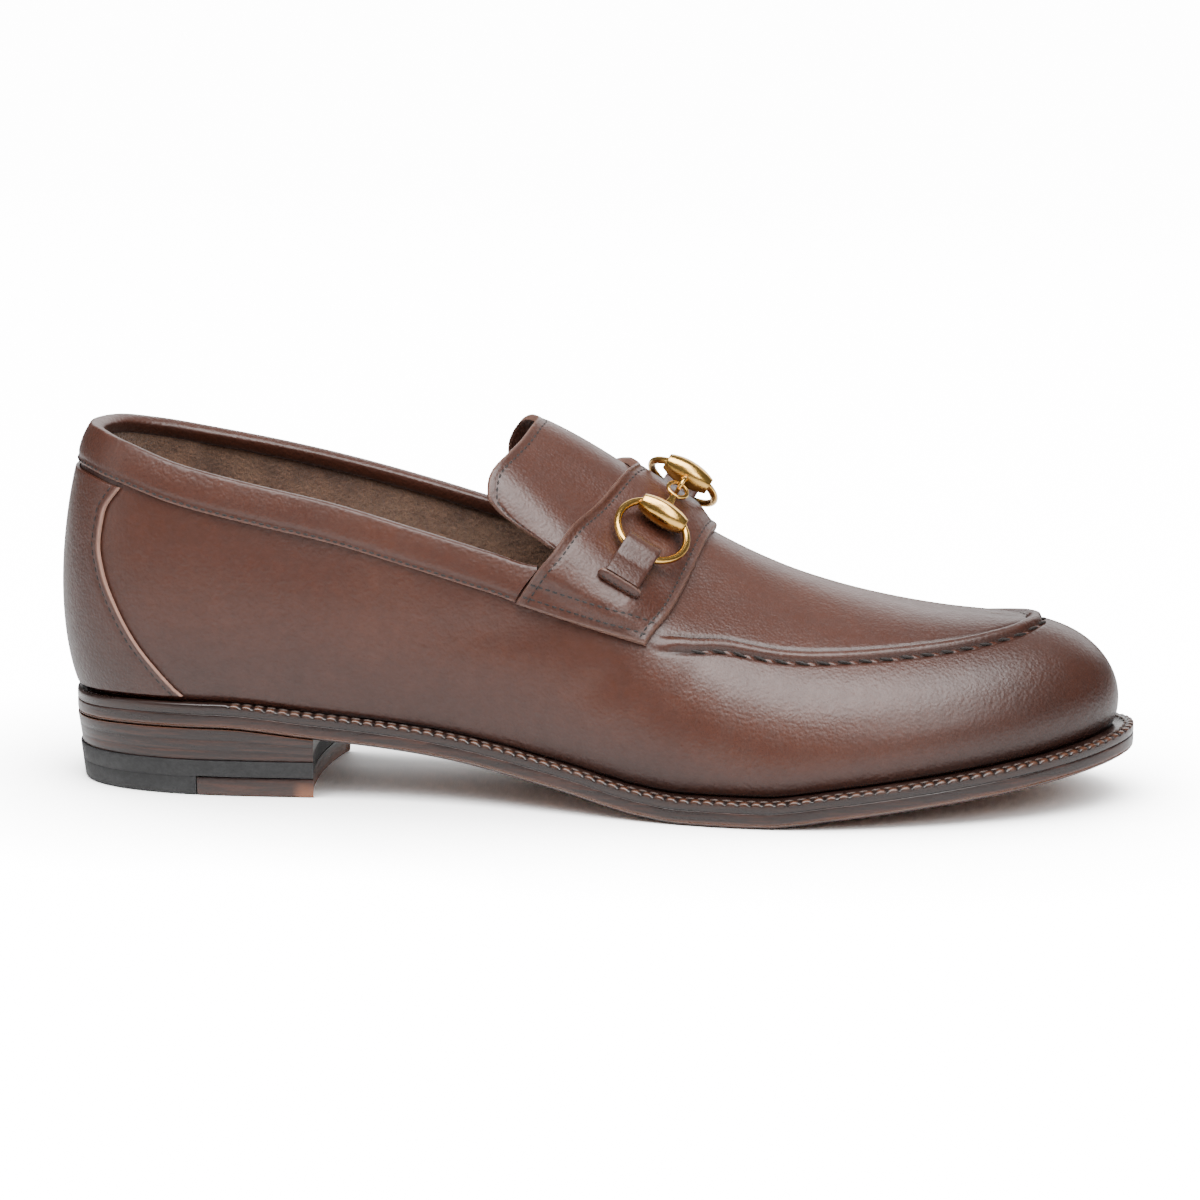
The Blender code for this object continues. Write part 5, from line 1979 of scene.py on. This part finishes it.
    def build_slit(self, finishes: Finishes, axes: Array, origin: Array, tail: float) -> None:
        """Stitched lip of the slit that the keeper comes out of: a low rounded bar across its tail.

        Args:
            finishes: the finishes that the pieces wear.
            axes: the half's axes.
            origin: the half's origin.
            tail: where the keeper's tail ends.
        """
        half_length = self.keeper_width / 2 + 0.0016
        x = np.linspace(-half_length, half_length, 30)[:, None]
        taper = np.sqrt(np.clip(1 - (x / half_length) ** 6, 0, 1))
        corner = turns(18)[None, :]
        seat = self.strap_seat(axes, origin, np.array((tail,)))[0]
        y = tail + 0.0013 * np.cos(corner) * taper
        z = seat + 0.0004 + 0.0026 * np.maximum(np.sin(corner), -0.2) * taper
        points = np.stack((x + 0 * corner, y, z), axis=-1)
        raw = smooth_step(0.85, 1.0, np.sin(corner)) * 0.35 + 0 * x
        lip = tube(points[:, ::-1], edge=raw[:, ::-1], burnish=0.35 + 0 * y).placed(axes, origin)
        make_piece("slit_lip_" + self.title, lip, finishes.overlay, "shoe")
        path = np.column_stack((x[3:-3, 0], np.full(24, tail - 0.0013), np.full(24, seat + 0.0010)))
        off = np.tile(np.array((0.0, -0.7, 0.7)), (24, 1))
        thread = Thread(pitch=0.0016, half_length=0.0006, half_width=0.00022, half_height=0.0002)
        row = thread.row(path @ axes + origin, off @ axes)
        make_piece("slit_stitches_" + self.title, row, finishes.thread, "shoe")


@dataclass
class Bottom:
    """Outsole and welt, with stitches, wheel marks and worked edges."""

    outsole_columns: int = 640
    welt_columns: int = 2200
    underside_tilt: float = -0.93
    pitch: float = 0.0034
    mark_depth: float = 0.00038
    stitch_inset: float = 0.0025
    first_stitch_reach: float = 0.050

    def sewn(self, x: Array) -> Array:
        """1 along the forepart where the welt is stitched, 0 round the heel."""
        return smooth_step(self.first_stitch_reach - 0.002, self.first_stitch_reach + 0.002, x)

    def edge_run(self, places: Array) -> Array:
        """Length along the outsole's edge at each place.

        Args:
            places: places round the edge.

        Returns:
            Running length, 0 at the first place.
        """
        points = LAST.outline(places, 0.0)[0]
        steps = np.linalg.norm(np.diff(points, axis=0), axis=-1)
        return np.concatenate(([0.0], np.cumsum(steps)))

    def build(self, finishes: Finishes) -> None:
        """Build the outsole, the welt and the welt's stitches."""
        self.build_outsole(finishes)
        self.build_welt(finishes)

    def build_outsole(self, finishes: Finishes) -> None:
        """Outsole: a worked edge with a fine line near its foot, and a plain underside.

        Args:
            finishes: the finishes that the pieces wear.
        """
        count = self.outsole_columns
        places = np.arange(count) * RING_PLACES / count
        thick = LAST.outsole
        # Columns: inset from the edge, height over the tread.
        profile = np.array((
            (0.0090, 0.0000), (0.0040, 0.0000), (0.0016, 0.0000), (0.0008, 0.0001), (0.0003, 0.0004),
            (0.0001, 0.0008), (0.00022, 0.0010), (0.00004, 0.0012), (0.0000, 0.0018), (0.0000, 0.0026),
            (0.0000, thick - 0.0005), (0.00006, thick - 0.0002), (0.00022, thick - 0.00002), (0.0014, thick)))
        inset = np.broadcast_to(profile[:, 0], (count, len(profile)))
        around = np.repeat(places[:, None], len(profile), axis=1)
        plan = LAST.outline(around, inset)[0]
        z = LAST.tread_height(plan[..., 0]) + profile[:, 1]
        points = np.concatenate((plan, z[..., None]), axis=-1)
        index = numbered(points)
        line = bell(profile[:, 1], 0.0010, 0.00025)[None, :] * np.ones((count, 1))
        shape = Shape.of(points, quads(closed(index)), worn=line * 0.35, seam=0 * line)
        shape.faces += mirror_cap(index[:, 0]) + [face[::-1] for face in mirror_cap(index[:, -1])]
        piece = make_piece("outsole_leather", shape, finishes.edge, "shoe", ("outsole",))
        piece.data.materials.append(finishes.bottom)
        normals = np.zeros(len(piece.data.polygons) * 3)
        piece.data.polygons.foreach_get("normal", normals)
        under = normals.reshape(-1, 3)[:, 2] < self.underside_tilt
        piece.data.polygons.foreach_set("material_index", under.astype(np.int32))

    def build_welt(self, finishes: Finishes) -> None:
        """Welt: wheel marks press a row of notches into its upper edge, next to the stitches.

        Args:
            finishes: the finishes that the pieces wear.
        """
        count = self.welt_columns
        places = np.arange(count) * RING_PLACES / count
        run = self.edge_run(np.append(places, RING_PLACES))
        marks = round(run[-1] / self.pitch)
        phase = run[:-1] / run[-1] * marks
        seat = LAST.margin(places) + WELT_SEAT
        thick = LAST.welt
        low = LAST.outsole + FIT_GAP
        foot = -FIT_GAP * 0.9
        # Columns: inset from the edge, height over the welt's foot, depth share of the wheel mark.
        profile = np.array((
            (0.00020, foot, 0.0), (0.0000, 0.0001, 0.0), (0.0000, 0.0013, 0.0), (0.0000, thick - 0.0008, 0.4),
            (0.00010, thick - 0.0004, 1.0), (0.00045, thick - 0.0001, 1.0), (0.0011, thick, 0.9),
            (0.0016, thick, 0.3), (0.0018, thick - 0.0002, 0.0), (0.0025, thick - 0.00035, 0.0),
            (0.0032, thick - 0.0002, 0.0), (0.0036, thick, 0.0)))
        inset = np.minimum(profile[:, 0][None, :], (seat - 0.0006)[:, None])
        inset = np.concatenate((inset, seat[:, None], seat[:, None]), axis=1)
        rise = np.concatenate((profile[:, 1], (thick, foot)))
        press = np.concatenate((profile[:, 2], (0.0, 0.0)))
        around = np.repeat(places[:, None], inset.shape[1], axis=1)
        plan = LAST.outline(around, inset)[0]
        sewn = self.sewn(plan[..., 0])
        notch = np.abs(np.sin(phase * math.pi))[:, None] ** 0.55
        drop = self.mark_depth * press[None, :] * (1 - notch) * 2.0 * sewn
        groove = np.where((rise > thick - 0.0006) & (press == 0.0), 1.0, 0.0)[None, :]
        flat = np.where(rise[None, :] > thick - 0.0006, (thick - rise)[None, :] * (1 - sewn) * groove, 0.0)
        z = LAST.tread_height(plan[..., 0]) + low + rise[None, :] - drop + flat
        points = np.concatenate((plan, z[..., None]), axis=-1)
        # Painted shade in the wheel-mark notches and a darker foot; a painted highlight on the crests.
        dark = (1 - notch) * press[None, :] * sewn + np.where(rise[None, :] < 0.0, 0.5, 0.0)
        light = smooth_step(0.55, 0.95, notch) * press[None, :] * sewn * 0.25
        shape = tube(points, wrap=True, seam=np.clip(dark, 0, 1), worn=light)
        make_piece("welt_leather", shape, finishes.welt, "shoe", ("welt",))

        start = LAST.station_at(np.array(self.first_stitch_reach / LAST.length))
        plan = LAST.outline(np.linspace(start, RING_PLACES - start, 1500), self.stitch_inset)[0]
        path = np.column_stack((plan, LAST.seat_height(plan[:, 0]) - 0.0002))
        up = np.broadcast_to((0.0, 0.0, 1.0), path.shape)
        thread = Thread(self.pitch, half_length=0.00135, half_width=0.00042, half_height=0.00036, sink=0.0)
        row = thread.row(path, up)
        make_piece("welt_stitches", row, finishes.welt_thread, "shoe")


def level(height: float) -> Callable[[Array], Array]:
    """Height function that is the same at every x."""
    return lambda x: np.full_like(x, height)


@dataclass
class Heel:
    """Stacked heel: leather lifts with fine joints, a rubber lift and a top piece with a leather tip."""

    breast_reach: float = 0.0735
    breast_hollow: float = 0.0035
    rubber_height: float = 0.0100
    top_piece: float = 0.0052
    taper: float = 0.0012
    tip_reach: float = 0.0400
    lifts: int = 3

    def breast(self, y: Array) -> Array:
        """Reach of the heel's hollow front at y: an arc through both breast corners.

        Args:
            y: places across the heel.

        Returns:
            One reach for each y.
        """
        half = STATIONS[3, OUTER] * LAST.ball_width
        radius = (half ** 2 + self.breast_hollow ** 2) / (2 * self.breast_hollow)
        return self.breast_reach - self.breast_hollow + radius - np.sqrt(radius ** 2 - y ** 2)

    def loop(self, inset: float, rear: float | None = None) -> Array:
        """Closed plan outline of the heel.

        Args:
            inset: distance in from the outsole's edge.
            rear: reach where the outline starts, or None for the back of the heel.

        Returns:
            Plan points, counterclockwise seen from above.
        """
        sample = np.linspace(0, 6, 900)
        plan = LAST.outline(sample, inset)[0]
        end = sample[np.argmax(plan[:, 0] - self.breast(plan[:, 1]) > 0)]
        begin = 0.0 if rear is None else np.interp(rear, plan[:, 0], sample)
        half = np.linspace(begin, end, 150)
        near = LAST.outline(half, inset)[0]
        far = LAST.outline(RING_PLACES - half[::-1], inset)[0]
        y = np.linspace(near[-1, 1], far[0, 1], 42)[1:-1]
        front = np.column_stack((self.breast(y), y))
        if rear is None:
            return np.concatenate((near, front, far[:-1]))
        y = np.linspace(far[-1, 1], near[0, 1], 20)[1:-1]
        return np.concatenate((near, front, far, np.column_stack((np.full(18, rear), y))))

    def block(self, low: Callable, high: Callable, levels: Array, inset: Array, rear: float | None = None,
              **paint: Array) -> Shape:
        """Stack closed outlines between two heights.

        Args:
            low: function of x that gives the block's foot.
            high: function of x that gives its top.
            levels: shares of the height from foot to top.
            inset: inset of each level.
            rear: where the block starts, or None for the back of the heel.
            paint: a value for each level.

        Returns:
            The closed block.
        """
        rows = []
        for share, step in zip(levels, inset):
            plan = self.loop(step, rear)
            foot = low(plan[:, 0])
            rows.append(np.column_stack((plan, foot + (high(plan[:, 0]) - foot) * share)))
        points = np.stack(rows)
        count = points.shape[1]
        index = closed(numbered(points), rows=False, columns=True)
        values = {name: np.repeat(row[:, None], count, axis=1) for name, row in paint.items()}
        shape = Shape.of(points, quads(index)[:, ::-1], **values)
        shape.faces.append(list(range(count))[::-1])
        shape.faces.append(list(range(index[-1, 0], index[-1, 0] + count)))
        return shape

    def build(self, finishes: Finishes) -> None:
        """Build lifts, rubber and leather tip.

        Args:
            finishes: the finishes that the pieces wear.
        """
        step = np.array((0.0, 0.10, 0.5, 0.90, 1.0))
        sunk = np.array((0.00011, 0.00001, 0.0, 0.00001, 0.00011))
        levels = np.concatenate([(step + lift) / self.lifts for lift in range(self.lifts)])
        groove = np.tile(sunk, self.lifts)
        slope = self.taper * (1 - levels)
        seam = np.where(groove > 0.0001, 0.6, 0.0)
        seam[-1] = 0.0
        worn = np.where(levels > 0.999, 0.30, 0.0)
        stack = self.block(level(self.rubber_height), LAST.tread_height, levels, groove + slope,
                           seam=seam, worn=worn)
        make_piece("heel_lifts", stack, finishes.lift, "shoe", ("heel_stack",))
        step = np.array((0.0, 0.04, 0.49, 0.515, 0.54, 0.96, 1.0))
        sunk = np.array((0.0003, 0.0, 0.0, 0.00016, 0.0, 0.0, 0.0002))
        slope = self.taper * (1 - step) + self.taper / 2
        rear_part = self.block(level(0.0), level(self.rubber_height), step, sunk + slope)
        rubber = make_piece("rubber_lift", rear_part, finishes.rubber, "shoe")
        self.trim(rubber)
        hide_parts("heel_rubber")
        levels = np.array((0.0, 0.08, 0.92, 1.0))
        sunk = np.array((0.0003, 0.0, 0.0, 0.0002))
        slope = self.taper * (1 - levels * self.top_piece / self.rubber_height) + self.taper / 2
        worn = np.array((0.20, 0.06, 0.0, 0.0))
        tip = self.block(level(0.0), level(self.top_piece), levels, sunk + slope,
                         rear=self.tip_reach + FIT_GAP, worn=worn)
        corner = smooth_step(0.0665, 0.0705, tip.points[:, 0]) * smooth_step(0.0040, 0.0, tip.points[:, 2])
        tip.paint["worn"] = np.maximum(tip.paint["worn"], corner * 0.9)
        make_piece("leather_tip", tip, finishes.lift, "shoe", ("heel_leather_tip",))

    def trim(self, rubber: bpy.types.Object) -> None:
        """Cut the room of the leather tip out of the rubber with a box.

        Args:
            rubber: the rubber lift's piece.
        """
        low = Vector((self.tip_reach - HEEL_REST_REACH, -LAST.ball_width, -LAST.heel_height))
        high = Vector((LAST.length, LAST.ball_width, self.top_piece + FIT_GAP))
        box = bmesh.new()
        bmesh.ops.create_cube(box, size=1.0)
        bmesh.ops.scale(box, vec=high - low, verts=box.verts)
        bmesh.ops.translate(box, vec=(high + low) / 2, verts=box.verts)
        mesh = bpy.data.meshes.new("tip_room")
        box.to_mesh(mesh)
        box.free()
        tool = bpy.data.objects.new("tip_room", mesh)
        bpy.context.scene.collection.objects.link(tool)
        step = rubber.modifiers.new("Tip room", "BOOLEAN")
        step.object = tool
        step.solver = "EXACT"
        bpy.context.view_layer.update()
        trimmed = rubber.evaluated_get(bpy.context.evaluated_depsgraph_get())
        rubber.data = bpy.data.meshes.new_from_object(trimmed)
        rubber.modifiers.clear()
        bpy.data.objects.remove(tool)


@dataclass
class Footbed:
    """Insole with its lining: a block inside the welt whose upper edge widens to meet the lining."""

    thickness: float = 0.0040
    reach_out: float = 0.0009
    lining: float = 0.0007
    rows_across: int = 15

    def build(self, finishes: Finishes) -> None:
        """Build the block as rows of closed outlines that close towards the middle line.

        Args:
            finishes: the finishes that the pieces wear.
        """
        places = np.arange(RING_PLACES * 8) / 8
        edge = LAST.margin(places) + WELT_SEAT + FIT_GAP
        wide = edge - self.reach_out
        top = self.thickness + self.lining
        low = LAST.outsole + FIT_GAP
        # Columns: inset, height over the outsole.
        levels = ((edge, 0.0), (edge, self.thickness - 0.0002), (wide, self.thickness),
                  (wide, top - 0.0003), (wide + 0.0004, top))
        rows = []
        for inset, height in levels:
            plan = LAST.outline(places, inset)[0]
            rows.append(np.column_stack((plan, LAST.tread_height(plan[:, 0]) + low + height)))
        rim = rows[-1]
        middle = (rim + np.roll(rim[::-1], 1, axis=0)) / 2
        foot = (rows[0] + np.roll(rows[0][::-1], 1, axis=0)) / 2
        shares = np.linspace(0, 1, self.rows_across)[1:, None, None]
        upper = rim + (middle - rim) * shares
        lower = foot + (rows[0] - foot) * np.linspace(0, 1, 5)[:-1, None, None]
        points = np.concatenate((lower, np.stack(rows), upper))
        index = closed(numbered(points), rows=False, columns=True)
        shape = Shape.of(points, quads(index)[:, ::-1])
        make_piece("footbed", shape, finishes.suede, "shoe", ("insole",))


@dataclass
class Studio:
    """Pale floor, soft lights and the camera at the photograph's angle."""

    azimuth: float = math.radians(7.0)
    elevation: float = math.radians(11.0)
    distance: float = 1.2
    lens: float = 127.8
    target: tuple[float, float, float] = (0.129, 0.0, 0.052)
    floor_size: float = 40.0
    floor_drop: float = 0.0002
    floor_glow: float = 14.0
    far_white: float = 17.0
    surround: float = 0.17
    shadow_reach: float = 0.09
    shadow_depth: float = 3.0

    def build(self) -> None:
        """Build floor, lights, surroundings and camera."""
        self.floor()
        self.lights()
        self.camera()

    def floor(self) -> None:
        """Large pale floor just under the shoe, glowing for the camera, with a painted shadow near the shoe.
        """
        bpy.ops.mesh.primitive_plane_add(size=self.floor_size, location=(0.0, 0.0, -self.floor_drop))
        floor = bpy.context.object
        floor.name = "floor"
        material, graph, shader = start_material("pale floor")
        shader.inputs["Base Color"].default_value = (0.93, 0.93, 0.93, 1.0)
        shader.inputs["Roughness"].default_value = 0.6
        shader.inputs["Specular IOR Level"].default_value = 0.2
        shader.inputs["Emission Color"].default_value = (1.0, 1.0, 1.0, 1.0)
        seen = graph.add("LightPath").outputs["Is Camera Ray"]
        # Painted shadow: the camera's glow fades by ambient occlusion near the shoe.
        nearness = graph.add("AmbientOcclusion", {"Distance": self.shadow_reach}).outputs["AO"]
        open_floor = graph.math("POWER", nearness, self.shadow_depth)
        glow = graph.math("MULTIPLY", open_floor, self.floor_glow)
        graph.feed(shader.inputs["Emission Strength"], graph.math("MULTIPLY", seen, glow))
        floor.data.materials.append(material)

    def area(self, name: str, place: tuple, size: tuple, power: float) -> None:
        """Area light that faces the shoe.

        Args:
            name: the light's name.
            place: where it stands.
            size: its width and height.
            power: the light's power in watts.
        """
        data = bpy.data.lights.new(name, "AREA")
        data.shape = "RECTANGLE"
        data.size, data.size_y = size
        data.energy = power
        light = bpy.data.objects.new(name, data)
        light.location = place
        aim = Vector(self.target) - Vector(place)
        light.rotation_euler = aim.to_track_quat("-Z", "Y").to_euler()
        bpy.context.scene.collection.objects.link(light)

    def lights(self) -> None:
        """Four soft boxes and dim surroundings that only the camera sees as white."""
        self.area("overhead", (0.16, -0.42, 1.15), (1.3, 0.8), 40.0)
        self.area("left", (-1.2, -0.55, 0.55), (0.4, 0.9), 3.0)
        self.area("front_right", (0.9, -1.1, 0.85), (0.6, 0.6), 9.0)
        self.area("back", (0.3, 1.3, 0.7), (1.8, 0.8), 12.0)
        world = bpy.data.worlds.new("white studio")
        world.use_nodes = True
        graph = Graph(world.node_tree)
        seen = graph.add("LightPath").outputs["Is Camera Ray"]
        background = world.node_tree.nodes["Background"]
        background.inputs[0].default_value = (1.0, 1.0, 1.0, 1.0)
        graph.feed(background.inputs[1], graph.ramp(seen, 0.0, 1.0, self.surround, self.far_white))
        bpy.context.scene.world = world

    def camera(self) -> None:
        """Camera on the photograph's line of sight."""
        back = Vector((
            math.sin(self.azimuth) * math.cos(self.elevation),
            -math.cos(self.azimuth) * math.cos(self.elevation),
            math.sin(self.elevation)))
        data = bpy.data.cameras.new("camera")
        data.lens = self.lens
        data.sensor_width = 36.0
        data.clip_start = 0.05
        camera = bpy.data.objects.new("camera", data)
        camera.location = Vector(self.target) + back * self.distance
        camera.rotation_euler = (-back).to_track_quat("-Z", "Y").to_euler()
        bpy.context.scene.collection.objects.link(camera)
        bpy.context.scene.camera = camera


def main() -> None:
    """Build the shoe's pieces in order, then floor, lights and camera."""
    logging.basicConfig(level=logging.INFO, format="%(name)s %(message)s")
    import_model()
    finishes = Finishes()
    Upper().build(finishes)
    Counter().build(finishes)
    CollarBand().build(finishes)
    Tongue().build(finishes)
    strap = SaddleStrap()
    strap.build(finishes)
    for side in Side:
        Bit(side, strap).build(finishes)
    Bottom().build(finishes)
    Heel().build(finishes)
    Footbed().build(finishes)
    Studio().build()


if __name__ == "__main__":
    main()
